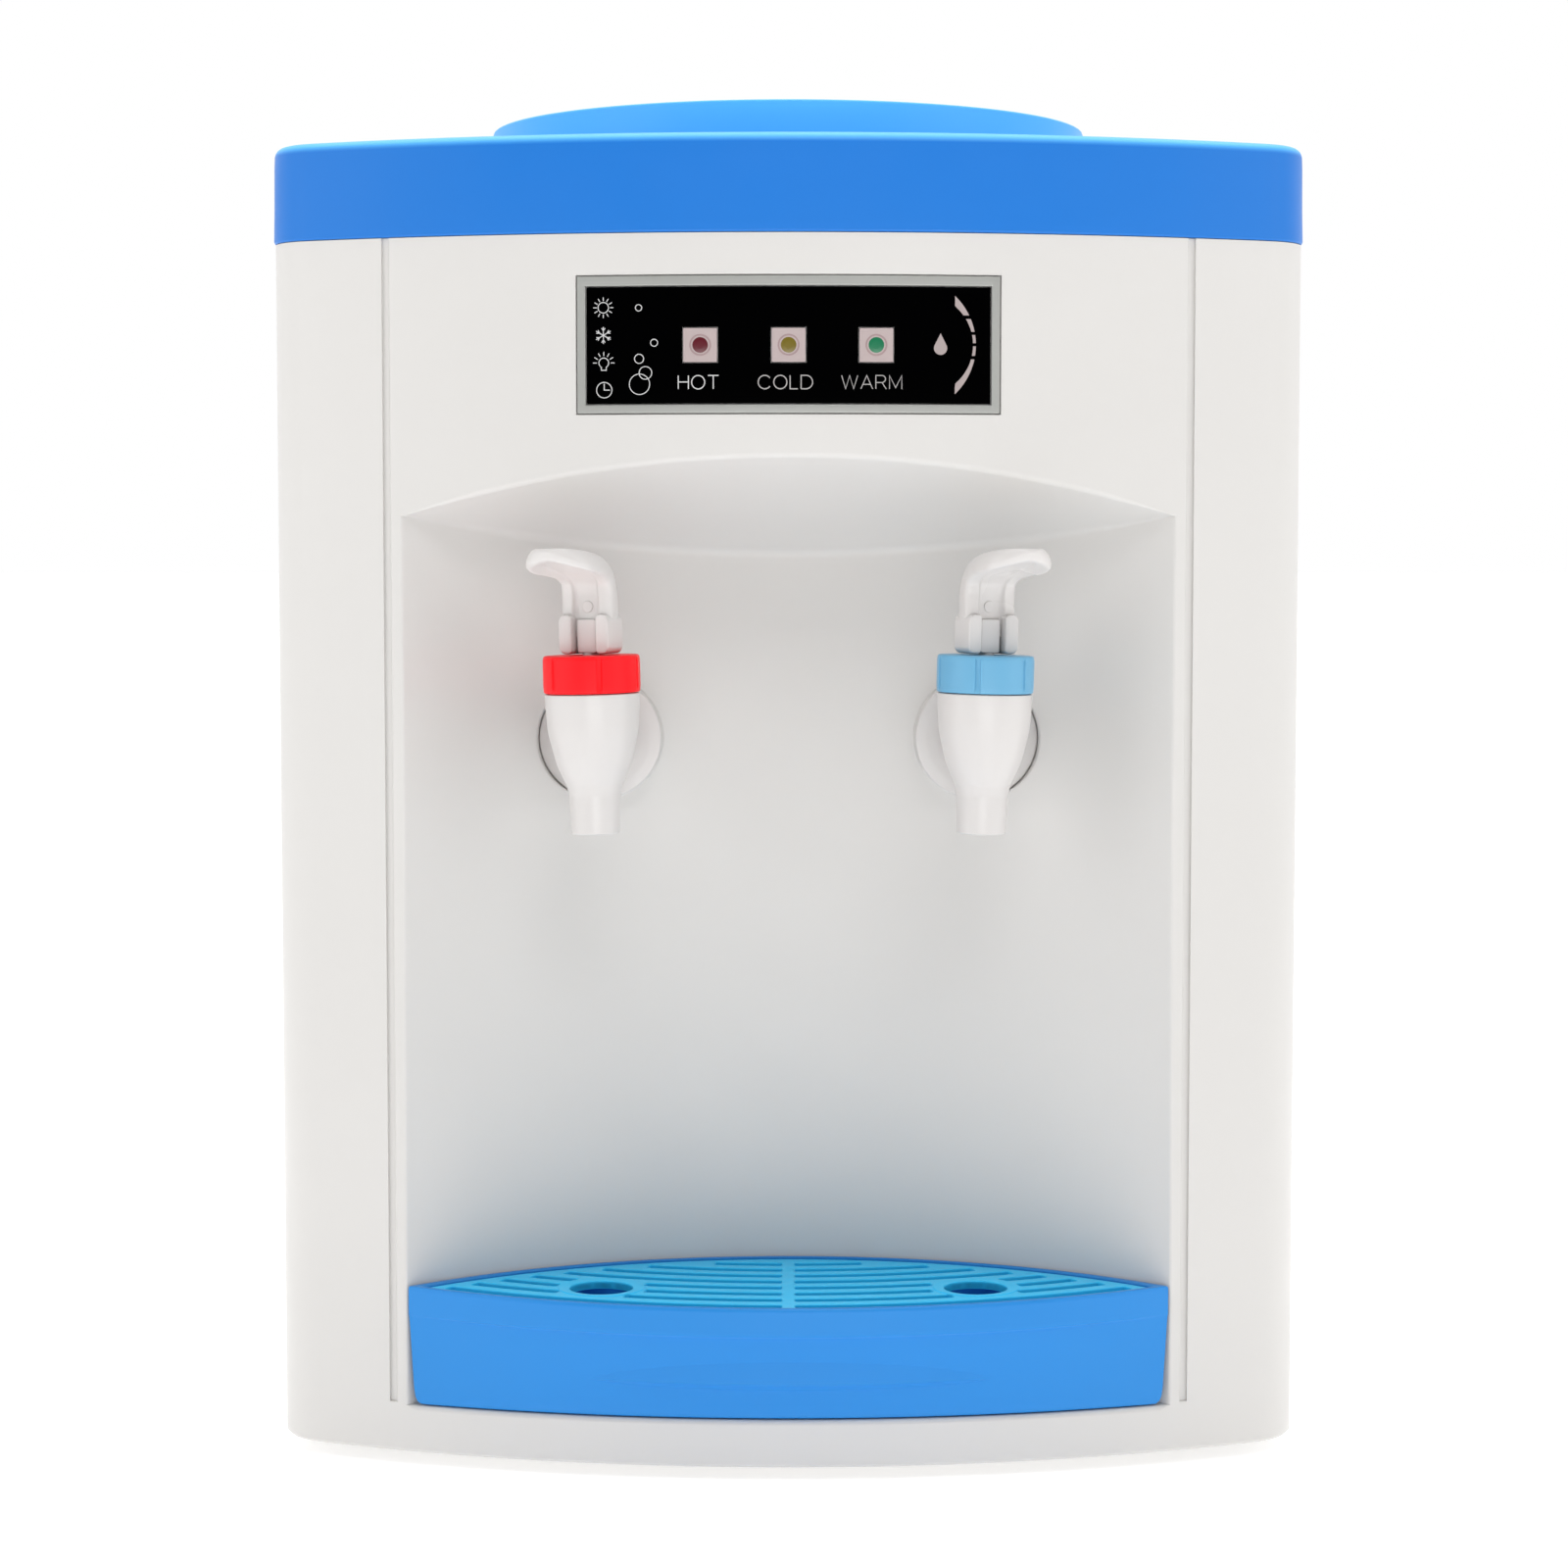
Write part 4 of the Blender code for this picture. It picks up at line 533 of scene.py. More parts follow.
def front_section(x, thick):
    """Points (depth, z, groove share, display share) up the front shell at x.

    The shares are filled in later. thick is 0 on the outer skin.
    """
    depth = niche_depth(x) if abs(x) < 0.12 else 0.0
    rise = max(1.0 - (x / NICHE_HALF) ** 2, 0.0)
    lip_z = NICHE_CORNER_Z + CEILING_RISE * rise
    back_z = NICHE_CORNER_Z - CEILING_DROP * rise
    smooth = 0.0 if thick else 1.0
    floor_z = BAND_Z - thick
    corners = [(0.0009 * smooth, SKIRT_Z), (0.0, SKIRT_Z + 0.0009)]
    corners += [(0.0, floor_z, 0.0016 * smooth), (depth, floor_z, 0.0014 * smooth)]
    walls = [z for z, _ in pocket_stations(GROOVE_END_Z, GROOVE_IN, 1)] + [0.030, 0.060, 0.095, 0.130, 0.165]
    walls += spaced(TAP_Z - TAP_WINDOW, TAP_Z + TAP_WINDOW, 12) + [0.250]
    corners += [(depth, z) for z in walls]
    corners.append((depth, back_z + thick, 0.0035 * smooth))
    for t in spaced(0.0, 1.0, 8)[1:-1]:
        crown = 4 * t * (1 - t) * CEILING_CROWN * rise
        corners.append((depth * (1 - t), lerp(back_z, lip_z, t) + crown + thick))
    corners.append((0.0, lip_z + thick, 0.0020 * smooth))
    low_stations = pocket_stations(DISPLAY_LOW.z - GAP, POCKET, 1)
    high_stations = pocket_stations(DISPLAY_HIGH.z + GAP, POCKET, -1)[::-1]
    face = [0.3035] + [z for z, _ in low_stations] + spaced(0.3120, 0.3430, 4)
    face += [z for z, _ in high_stations] + [0.3520, TOP_Z]
    corners += [(0.0, z) for z in face]
    return [[d + thick, z, 0.0, 0.0] for d, z in rounded(corners, 4)]


def shares(column):
    """Marks which points of a section lie inside the groove and inside the display's pocket."""
    for point in column:
        z = point[1]
        point[2] = GROOVE_IN if z > GROOVE_END_Z + 1e-6 else 0.0
        point[3] = POCKET if DISPLAY_LOW.z - GAP + 1e-6 < z < DISPLAY_HIGH.z + GAP - 1e-6 else 0.0


def rim_shares(column, edge, depth, key, inward):
    """Gives the points on one pocket rim their own depths, in the order of its stations."""
    wanted = pocket_stations(edge, depth, inward)
    wanted = wanted if inward > 0 else wanted[::-1]
    hits = [p for p in column if any(abs(p[1] - z) < 1e-7 for z, _ in wanted)]
    for point, (_, drop) in zip(hits, wanted):
        point[key] = drop


def front_points(thick):
    grid = []
    for plan, normal, groove, show in front_columns():
        section = front_section(plan.x, thick)
        shares(section)
        rim_shares(section, GROOVE_END_Z, GROOVE_IN, 2, 1)
        rim_shares(section, DISPLAY_LOW.z - GAP, POCKET, 3, 1)
        rim_shares(section, DISPLAY_HIGH.z + GAP, POCKET, 3, -1)
        row = []
        for depth, z, groove_share, show_share in section:
            inset = depth
            if not thick:
                inset += max(min(groove, groove_share), min(show, show_share))
            shift = edge_shift(plan.x, z)
            y = plan.y if not shift else front_y(plan.x + shift)
            row.append((plan.x + shift - normal.x * inset, y - normal.y * inset, z))
        grid.append(row)
    return grid


def seat_patch(bm, grid, span, centre, rings):
    """Fills a square gap with rings that close in on a round seat. Each ring gives a radius and how far
    it has moved from the wall to the seat's face."""
    (first_column, last_column), (first_row, last_row) = span
    columns, rows = range(first_column, last_column), range(first_row, last_row)
    loop = [grid[c][first_row] for c in columns]
    loop += [grid[last_column][r] for r in rows]
    loop += [grid[c][last_row] for c in reversed(range(first_column + 1, last_column + 1))]
    loop += [grid[first_column][r] for r in reversed(range(first_row + 1, last_row + 1))]
    angles = [math.atan2(v.co.z - centre[1], v.co.x - centre[0]) for v in loop]
    for radius, share, thick, face_y in rings:
        ring = []
        for angle in angles:
            x = centre[0] + radius * math.cos(angle)
            wall = NICHE_CENTRE_Y + math.sqrt(NICHE_RADIUS**2 - x * x) + thick
            ring.append(bm.verts.new((x, lerp(wall, face_y, share), centre[1] + radius * math.sin(angle))))
        for k in range(len(loop)):
            m = (k + 1) % len(loop)
            bm.faces.new((loop[k], loop[m], ring[m], ring[k]))
        loop = ring
    bm.faces.new(loop)


def make_front_shell():
    outer, inner = front_points(0.0), front_points(WALL)
    xs = [column[0][0] for column in outer]
    zs = [point[2] for point in outer[0]]

    def nearest(values, wanted):
        return min(range(len(values)), key=lambda i: abs(values[i] - wanted))

    row_span = (nearest(zs, TAP_Z - TAP_WINDOW), nearest(zs, TAP_Z + TAP_WINDOW))
    spans = []
    for side in (-1, 1):
        edges = sorted((side * (TAP_X - TAP_WINDOW), side * (TAP_X + TAP_WINDOW)))
        spans.append((nearest(xs, edges[0]), nearest(xs, edges[1])))

    def patched(i, j):
        return row_span[0] <= j < row_span[1] and any(a <= i < b for a, b in spans)

    bm, skins = two_skins(outer, inner, patched=patched)
    seat = FLANGE_RADIUS + 0.0002
    steps = ((0.0212, 0.0), (seat + 0.0006, 0.0), (seat + 0.0002, 0.03), (seat, 0.12), (seat, 0.96))
    steps += ((seat - 0.0002, 1.0), (seat - 0.0030, 1.0))
    outer_rings = [(radius, share, 0.0, BOSS_Y) for radius, share in steps]
    pad_y = low("hot_tap_nut").y - GAP
    inner_rings = [(0.0215, 0.0, WALL, pad_y), (0.0215, 1.0, WALL, pad_y)]
    for side, span in zip((-1, 1), spans):
        for skin, rings in zip(skins, (outer_rings, inner_rings)):
            seat_patch(bm, skin, (span, row_span), (side * TAP_X, TAP_Z), rings)
    piece("front_shell_skin", finished(bm, "front_shell_skin", 38), "white_plastic", "case", "front_shell")


# ------------------------------------------------------------------ rear shell and cover
COVER_LOW, COVER_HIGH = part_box("rear_cover")


def frame_ring(name, outer, inner, near, far):
    """A flat rectangular ring between two depths."""
    loops = []
    for corners, y in ((outer, near), (outer, far), (inner, far), (inner, near)):
        loops.append([(x, y, z) for x, z in box_corners(*corners)])
    return woven(name, loops, **WRAPPED)


def block(name, low_corner, high_corner, near, far):
    """A plain block between two depths."""
    rows = [[(x, y, z) for x, z in box_corners(low_corner, high_corner)] for y in (near, far)]
    return woven(name, rows, **CAPPED)


def make_rear_shell():
    rear_x, rear_y = SIDE - BACK_CORNER, BACK_Y - BACK_CORNER
    half = COVER_HIGH.x + GAP
    bottom, top = COVER_LOW.z - GAP, COVER_HIGH.z + GAP
    start = REAR_SEAM_Y
    ends = [(SIDE - 0.0005, start), (SIDE - 0.00015, start + 0.00015)]
    ends += [(SIDE, y) for y in spaced(start + 0.0005, rear_y, 10)[:-1]]
    right = [(Vector(end), Vector((1, 0)), 0.0) for end in ends]
    right += [(p, n, 0.0) for p, n in corner_stations((rear_x, rear_y), BACK_CORNER, 0.0, math.pi / 2, 9)]
    places = [(x, 0.0) for x in spaced(0.130, half + 0.004, 3)]
    places += [(half + RIM, 0.0), (half + RIM * 0.4, RIM * 0.2), (half, RIM)]
    places += [(x, RIM) for x in spaced(half - 0.004, 0.0, 12)]
    right += [(Vector((x, BACK_Y)), Vector((0, 1)), drop) for x, drop in places]
    levels = [(SKIRT_Z, 0.0), (SKIRT_Z + 0.0009, 0.0), (0.018, 0.0), (bottom - RIM, 0.0)]
    levels += [(bottom - RIM * 0.4, RIM * 0.2), (bottom, RIM)]
    levels += [(z, RIM) for z in spaced(bottom + 0.004, top - 0.004, 14)]
    levels += [(top, RIM), (top + RIM * 0.4, RIM * 0.2), (top + RIM, 0.0), (TOP_Z, 0.0)]
    outer, inner = [], []
    for plan, normal, drop in right + mirrored(right[:-1]):
        insets = [min(drop, share) for _, share in levels]
        insets[0] += 0.0009
        outer.append([(*(plan - normal * inset), z) for inset, (z, _) in zip(insets, levels)])
        inner.append([(*(plan - normal * WALL), z) for z, _ in levels])

    def hole(i, j):
        x = (outer[i][j][0] + outer[i + 1][j][0]) / 2
        y = (outer[i][j][1] + outer[i + 1][j][1]) / 2
        z = (outer[i][j][2] + outer[i][j + 1][2]) / 2
        return y > BACK_Y - 0.001 and abs(x) < half and bottom < z < top

    bm, _ = two_skins(outer, inner, hole=hole)
    rim = 0.006
    around = ((-half - rim, bottom - rim), (half + rim, top + rim))
    within = ((-half + rim, bottom + rim), (half - rim, top - rim))
    ledge_back = COVER_LOW.y - GAP
    ledge = frame_ring("ledge", around, within, ledge_back - 0.0034, ledge_back)
    mesh = merged("rear_shell_skin", [finished(bm, "rear_shell_wall"), ledge])
    piece("rear_shell_skin", mesh, "white_plastic", "case", "rear_shell")


def slot_loop(centre, half_length, half_width, turn=0.0, steps=6, square=0.5):
    """An outline of a slot with rounded ends, turned about its centre."""
    size = (half_length, half_width)
    corners = box_corners((-half_length, -half_width), size, half_width * square * 2)
    c, s = math.cos(turn), math.sin(turn)
    return [(centre[0] + u * c - v * s, centre[1] + u * s + v * c) for u, v in rounded(corners, steps)]


def ring_loop(centre, radius, count):
    return [
        (centre[0] + radius * math.cos(a), centre[1] + radius * math.sin(a))
        for a in (math.tau * i / count for i in range(count))
    ]


def upright(y):
    """Turns a flat plate's x, y into x, z at depth y."""
    return Matrix.Translation((0, y, 0)) @ FORWARD


def make_rear_cover():
    half, bottom, top = COVER_HIGH.x, COVER_LOW.z, COVER_HIGH.z
    fan_z, reach = JOINTS["fan_spin"]["pos_m"][2], 0.0265
    loops = [rounded(box_corners((-half, bottom), (half, top), 0.001), 3)]
    for turn in (math.tau * i / 12 for i in range(12)):
        centre = (reach * math.cos(turn), fan_z + reach * math.sin(turn))
        loops.append(slot_loop(centre, 0.0125, 0.0022, turn))
    loops += [slot_loop((0.0, 0.1075 + 0.0165 * i), 0.080, 0.0025) for i in range(6)]
    switch, gland, plug = middle("switch_bezel"), middle("cord_gland"), middle("drain_plug")
    loops.append(slot_loop((switch.x, switch.z), 0.0225, 0.0125, square=0.08, steps=3))
    loops.append(ring_loop((gland.x, gland.z), 0.0068, 32))
    loops.append(ring_loop((plug.x, plug.z), 0.0050, 32))
    margin = 0.008
    columns = (-half + margin, half - margin)
    screws = [(x, z) for x in columns for z in (bottom + margin, top - margin)]
    screws += [(x, (bottom + top) / 2) for x in columns]
    loops += [ring_loop(spot, 0.0036, 24) for spot in screws]
    thickness = min(COVER_HIGH.y - COVER_LOW.y, 0.0018)
    parts = [plate("cover_panel", loops, thickness, 0.0003, upright(COVER_HIGH.y - thickness / 2))]
    rim_y = COVER_HIGH.y - 0.0006
    spout = [(0.0050, COVER_LOW.y), (0.0080, COVER_LOW.y, 0.0004), (0.0080, rim_y), (0.0050, rim_y)]
    parts.append(turned("spout", spout, 32, place=Matrix.Translation((plug.x, 0, plug.z)) @ BACKWARD))
    front, back = COVER_HIGH.y - 0.0014, COVER_HIGH.y - 0.0002
    for radius in (0.0205, 0.0325):
        inside, outside = radius - 0.0008, radius + 0.0008
        ring = [(inside, front), (outside, front), (outside, back, 0.0003), (inside, back, 0.0003)]
        parts.append(turned("guard", ring, 64, place=Matrix.Translation((0, 0, fan_z)) @ BACKWARD))
    piece("rear_cover_panel", merged("rear_cover_panel", parts), "white_plastic", "case", "rear_cover")
    for i, (x, z) in enumerate(screws):
        make_screw(f"cover_screw_{i + 1}", (x, COVER_HIGH.y - 0.0022, z), 25 * i)


def make_screw(name, spot, turn):
    """A pan-head screw with a cross recess, its head flush in the panel."""
    at = Matrix.Translation(spot) @ BACKWARD @ Matrix.Rotation(math.radians(turn), 4, "Z")
    profile = [(0.0, 0.0019), (0.0018, 0.0019), (0.0032, 0.0015, 0.0008), (0.0032, 0.0), (0.0, 0.0)]
    body = linked(name, turned(name, profile, 32, 4, place=at))
    bar_shape = Matrix.Translation((0, 0, 0.0017)) @ Matrix.Diagonal((0.0036, 0.0007, 0.0014, 1.0))
    cutters = []
    for angle in (0, 90):
        bar = bmesh.new()
        turned_by = Matrix.Rotation(math.radians(angle), 4, "Z")
        bmesh.ops.create_cube(bar, size=1.0, matrix=at @ turned_by @ bar_shape)
        bar_mesh = bpy.data.meshes.new("bar")
        bar.to_mesh(bar_mesh)
        bar.free()
        cutters.append(linked("bar", bar_mesh))
        cut = body.modifiers.new("Cross", "BOOLEAN")
        cut.operation = "DIFFERENCE"
        cut.object = cutters[-1]
    graph = bpy.context.evaluated_depsgraph_get()
    solid = bpy.data.meshes.new_from_object(body.evaluated_get(graph))
    for extra in cutters + [body]:
        bpy.data.objects.remove(extra)
    solid.shade_smooth()
    solid.set_sharp_from_angle(angle=math.radians(32))
    piece(name, solid, "screw_zinc", "case", slot="steel")


# ------------------------------------------------------------------ lid
def make_lid():
    bottom, top = low("top_cover").z - 0.0001, LID_TOP_Z - 0.0006
    collar_top = high("top_cover").z
    over = high("top_cover").x - SIDE
    inner_radius, hole = 0.0882, 0.0830
    ledge_z = 0.3892
    stations = perimeter()
    directions = [p.normalized() for p, _ in stations]
    profile = [(WALL - over, bottom), (0.0004 - over, bottom, 0.0003), (-over, bottom + 0.0008)]
    profile += [(0.0002 - over, bottom + 0.010), (0.0003 - over, top - 0.006)]
    profile += [(0.0005 - over, top, 0.0030), (0.0070 - over, top + 0.0002)]
    rings = [[(*(p - n * inset), z) for p, n in stations] for inset, z in rounded(profile, 7)]
    edge = [p - n * (0.0070 - over) for p, n in stations]
    shoulder = COLLAR_RADIUS + 0.0030
    for t in (0.2, 0.4, 0.6, 0.8, 1.0):
        z = lerp(top + 0.0002, COLLAR_BASE_Z, t)
        rings.append([(*a.lerp(d * shoulder, t), z) for a, d in zip(edge, directions)])
    collar = [(shoulder, COLLAR_BASE_Z), (COLLAR_RADIUS, COLLAR_BASE_Z, 0.0016)]
    collar += [(COLLAR_RADIUS, collar_top, 0.0007), (inner_radius, collar_top, 0.0012)]
    collar += [(inner_radius, ledge_z, 0.0006), (hole, ledge_z, 0.0005), (hole, top - WALL)]
    rings += [[(*(d * radius), z) for d in directions] for radius, z in rounded(collar, 5)[1:]]
    for inset, z in ((WALL - over + 0.0015, top - WALL), (WALL - over, top - WALL - 0.0015)):
        rings.append([(*(p - n * inset), z) for p, n in stations])
    piece("lid", woven("lid", rings, 38, **WRAPPED), "lid_blue", "case", "top_cover")


def make_bottle_seat():
    rim, seat_z, ledge = high("bottle_seat").x, high("bottle_seat").z, 0.3895
    spout_z = low("bottle_seat").z
    corners = [(0.0130, spout_z), (0.0150, spout_z, 0.0004), (0.0150, 0.3348, 0.0008)]
    corners += [(0.0355, 0.3348, 0.0012), (0.0377, 0.3655, 0.0020), (0.0400, 0.3683, 0.0020)]
    corners += [(0.0508, 0.3712, 0.0100), (0.0800, 0.3847, 0.0040), (0.0829, 0.3880, 0.0006)]
    corners += [(0.0829, ledge), (rim, ledge, 0.0003), (rim, seat_z, 0.0006), (0.0850, seat_z, 0.0012)]
    corners += [(0.0790, 0.3870, 0.0060), (0.0500, 0.3735, 0.0120), (0.0390, 0.3705, 0.0030)]
    corners += [(0.0345, 0.3600, 0.0050), (0.0345, 0.3370, 0.0020), (0.0130, 0.3370, 0.0008)]
    piece("bottle_funnel", turned("bottle_funnel", corners, 96), "seat_white", "bottle_seat", "bottle_seat")


# ------------------------------------------------------------------ display
def edge_drop(distance, radius):
    """How far a rounded edge has fallen away at a distance inside it."""
    if distance >= radius:
        return 0.0
    return radius - math.sqrt(max(radius**2 - (radius - distance) ** 2, 0.0))


def edge_stations(start, end, radius, steps):
    inside = spaced(start + radius, end - radius, steps)
    return [start, start + radius * 0.25] + inside + [end - radius * 0.25, end]


def bent_panel(name, box, windows, front, back, radius, steps):
    """A panel that follows the bowed front, with rounded edges and rectangular windows."""
    (x0, z0), (x1, z1) = box
    xs = set(edge_stations(x0, x1, radius, steps[0]))
    zs = set(edge_stations(z0, z1, radius, steps[1]))
    for a, b, c, d in windows:
        xs |= {a - radius, a - radius * 0.25, a, c, c + radius * 0.25, c + radius}
        zs |= {b - radius, b - radius * 0.25, b, d, d + radius * 0.25, d + radius}
    xs, zs = sorted(xs), sorted(zs)

    def drop(x, z):
        fall = edge_drop(min(x - x0, x1 - x, z - z0, z1 - z), radius)
        for a, b, c, d in windows:
            away = max(a - x, x - c, b - z, z - d)
            if away >= 0:
                fall = max(fall, edge_drop(away, radius))
            else:
                fall = radius
        return fall

    outer = [[(x, front_y(x, front + drop(x, z)), z) for z in zs] for x in xs]
    inner = [[(x, front_y(x, back), z) for z in zs] for x in xs]

    def hole(i, j):
        x, z = (xs[i] + xs[i + 1]) / 2, (zs[j] + zs[j + 1]) / 2
        return any(a < x < c and b < z < d for a, b, c, d in windows)

    bm, _ = two_skins(outer, inner, hole=hole)
    return finished(bm, name, 40)


def ribbon(points, width, closed=False):
    """Left and right edges of a flat stroke through (x, z) points."""
    knots = [Vector(p) for p in points]
    count = len(knots)
    sides = []
    for i, here in enumerate(knots):
        before = knots[i - 1] if closed or i else here
        after = knots[(i + 1) % count] if closed or i < count - 1 else here
        ahead = (after - here) if (after - here).length > 1e-9 else (here - before)
        behind = (here - before) if (here - before).length > 1e-9 else ahead
        mean = ahead.normalized() + behind.normalized()
        if mean.length < 1e-6:
            mean = ahead
        mean.normalize()
        normal = Vector((-mean.y, mean.x))
        stretch = 1.0 / max(abs(mean.dot(ahead.normalized())), 0.5)
        sides.append((here + normal * width / 2 * stretch, here - normal * width / 2 * stretch))
    return sides


PRINT_PROUD = 0.00004
PRINT_SUNK = 0.0001


def printed(bm, x, z, inset):
    return bm.verts.new((x, front_y(x, inset), z))


def add_stroke(bm, points, width, base, closed=False):
    """One printed stroke, a thin raised ribbon on the lens."""
    sides = ribbon(points, width, closed)
    top, bottom = (
        [(printed(bm, a.x, a.y, inset), printed(bm, b.x, b.y, inset)) for a, b in sides]
        for inset in (base - PRINT_PROUD, base + PRINT_SUNK)
    )
    count = len(sides)
    for i in range(count if closed else count - 1):
        j = (i + 1) % count
        bm.faces.new((top[i][0], top[i][1], top[j][1], top[j][0]))
        bm.faces.new((bottom[i][0], bottom[j][0], bottom[j][1], bottom[i][1]))
        bm.faces.new((top[i][0], top[j][0], bottom[j][0], bottom[i][0]))
        bm.faces.new((top[i][1], bottom[i][1], bottom[j][1], top[j][1]))
    if not closed:
        for i in (0, count - 1):
            bm.faces.new((top[i][0], bottom[i][0], bottom[i][1], top[i][1]))


def add_shape(bm, outline, base):
    """One printed solid shape from its outline."""
    top = [printed(bm, x, z, base - PRINT_PROUD) for x, z in outline]
    bottom = [printed(bm, x, z, base + PRINT_SUNK) for x, z in outline]
    bm.faces.new(top)
    bm.faces.new(bottom[::-1])
    for i in range(len(outline)):
        j = (i + 1) % len(outline)
        bm.faces.new((top[i], bottom[i], bottom[j], top[j]))


def arc_points(centre, radius, start, end, steps, stretch=1.0):
    points = []
    for a in spaced(math.radians(start), math.radians(end), steps):
        points.append((centre[0] + stretch * radius * math.cos(a), centre[1] + radius * math.sin(a)))
    return points


# strokes of plain capitals in a box one unit high; each entry is (width, strokes)
LETTERS = {
    "H": (0.76, [[(0, 0), (0, 1)], [(0.76, 0), (0.76, 1)], [(0, 0.52), (0.76, 0.52)]]),
    "O": (0.98, [arc_points((0.49, 0.5), 0.5, 0, 360, 28, 0.98)]),
    "T": (0.80, [[(0, 1), (0.80, 1)], [(0.40, 1), (0.40, 0)]]),
    "C": (0.92, [arc_points((0.49, 0.5), 0.5, 38, 322, 24, 0.98)]),
    "L": (0.58, [[(0, 1), (0, 0), (0.58, 0)]]),
    "D": (
        0.86,
        [[(0, 0), (0, 1), (0.36, 1)] + arc_points((0.36, 0.5), 0.5, 84, -84, 18) + [(0.36, 0), (0, 0)]],
    ),
    "W": (1.20, [[(0, 1), (0.30, 0), (0.60, 1), (0.90, 0), (1.20, 1)]]),
    "A": (0.88, [[(0, 0), (0.44, 1), (0.88, 0)], [(0.15, 0.34), (0.73, 0.34)]]),
    "R": (
        0.78,
        [
            [(0, 0), (0, 1), (0.46, 1)]
            + arc_points((0.46, 0.74), 0.26, 80, -80, 12)
            + [(0.46, 0.48), (0, 0.48)],
            [(0.46, 0.48), (0.78, 0)],
        ],
    ),
    "M": (0.92, [[(0, 0), (0, 1), (0.46, 0.1), (0.92, 1), (0.92, 0)]]),
}


WORD_Z, WORD_HEIGHT = 0.3150, 0.0038


def add_word(bm, word, centre_x, base, width):
    gap, height = 0.24, WORD_HEIGHT
    total = sum(LETTERS[c][0] for c in word) + gap * (len(word) - 1)
    x = centre_x - total * height / 2
    for letter in word:
        span, strokes = LETTERS[letter]
        for stroke in strokes:
            points = [(x + u * height, WORD_Z + v * height) for u, v in stroke]
            closed = letter == "O"
            add_stroke(bm, points[:-1] if closed else points, width, base, closed)
        x += (span + gap) * height


def circle(bm, centre, radius, width, base):
    add_stroke(bm, arc_points(centre, radius, 0, 360, 32)[:-1], width, base, closed=True)


def polar(centre, reach, angle):
    """The point at a reach from a centre, its angle in degrees."""
    turn = math.radians(angle)
    return (centre[0] + reach * math.cos(turn), centre[1] + reach * math.sin(turn))


def rays(bm, centre, inner, outer, angles, width, base):
    for angle in angles:
        add_stroke(bm, [polar(centre, inner, angle), polar(centre, outer, angle)], width, base)


def add_icons(bm, base):
    """Sun, snowflake, lamp and clock down the left, with the bubbles beside them."""
    left = LENS_LOW.x + 0.0048
    fine = 0.00025
    sun = (left, 0.3381)
    circle(bm, sun, 0.00150, fine, base)
    rays(bm, sun, 0.0019, 0.0029, range(0, 360, 30), fine, base)
    snow = (left, 0.3303)
    rays(bm, snow, 0.0, 0.0024, range(30, 390, 60), fine, base)
    for angle in range(30, 390, 60):
        root = polar(snow, 0.0013, angle)
        for turn in (-35, 35):
            add_stroke(bm, [root, polar(root, 0.0009, angle + turn)], fine, base)
    bulb = (left + 0.0001, 0.3225)
    foot, shoulder = bulb[1] - 0.0021, bulb[1] - 0.0013
    glass = [(bulb[0] - 0.0007, foot), (bulb[0] - 0.0007, shoulder)] + arc_points(bulb, 0.0014, 240, -60, 20)
    glass += [(bulb[0] + 0.0007, shoulder), (bulb[0] + 0.0007, foot)]
    add_stroke(bm, glass, fine, base, closed=True)
    rays(bm, bulb, 0.0020, 0.0031, range(0, 181, 30), fine, base)
    clock = (left + 0.0002, 0.3148)
    circle(bm, clock, 0.0022, fine, base)
    add_stroke(bm, [(clock[0], clock[1] + 0.0018), clock, (clock[0] + 0.0016, clock[1])], fine, base)
    bubbles = ((10.1, 0.3380, 0.0009), (14.5, 0.3281, 0.0010), (10.2, 0.3236, 0.0013))
    for x, z, radius in bubbles + ((12.0, 0.3196, 0.0018), (10.3, 0.3164, 0.0029)):
        circle(bm, (left + x / 1000, z), radius, 0.00024, base)


# each segment's two ends, above the gauge's middle
GAUGE_SEGMENTS = ((0.0138, 0.0084), (0.0074, 0.0038), (0.0029, 0.0006))
GAUGE_SEGMENTS += ((-0.0003, -0.0030), (-0.0040, -0.0138))


def add_gauge(bm, base):
    """Five segments between two arcs, with the outer two running to points."""
    middle_z, left = 0.3275, LENS_LOW.x + 0.1048
    outer_radius, inner_radius = 0.0191, 0.0142
    outer_x, inner_x = left + 0.0060 - outer_radius, left + 0.0052 - inner_radius
    for start, end in GAUGE_SEGMENTS:
        heights = spaced(start, end, 10)
        outside = [(outer_x + math.sqrt(outer_radius**2 - h * h), middle_z + h) for h in heights]
        inside = []
        for h in heights:
            reach = math.sqrt(max(inner_radius**2 - h * h, 0.0))
            inside.append((max(inner_x + reach, left), middle_z + h))
        add_shape(bm, outside + inside[::-1], base)


def drop_outline(centre, radius, height):
    """A water drop: a round belly that runs up to a point."""
    cut = math.acos(radius / height)
    angles = spaced(math.pi / 2 + cut, math.tau + math.pi / 2 - cut, 28)
    belly = [(centre[0] + radius * math.cos(a), centre[1] + radius * math.sin(a)) for a in angles]
    return belly + [(centre[0], centre[1] + height)]


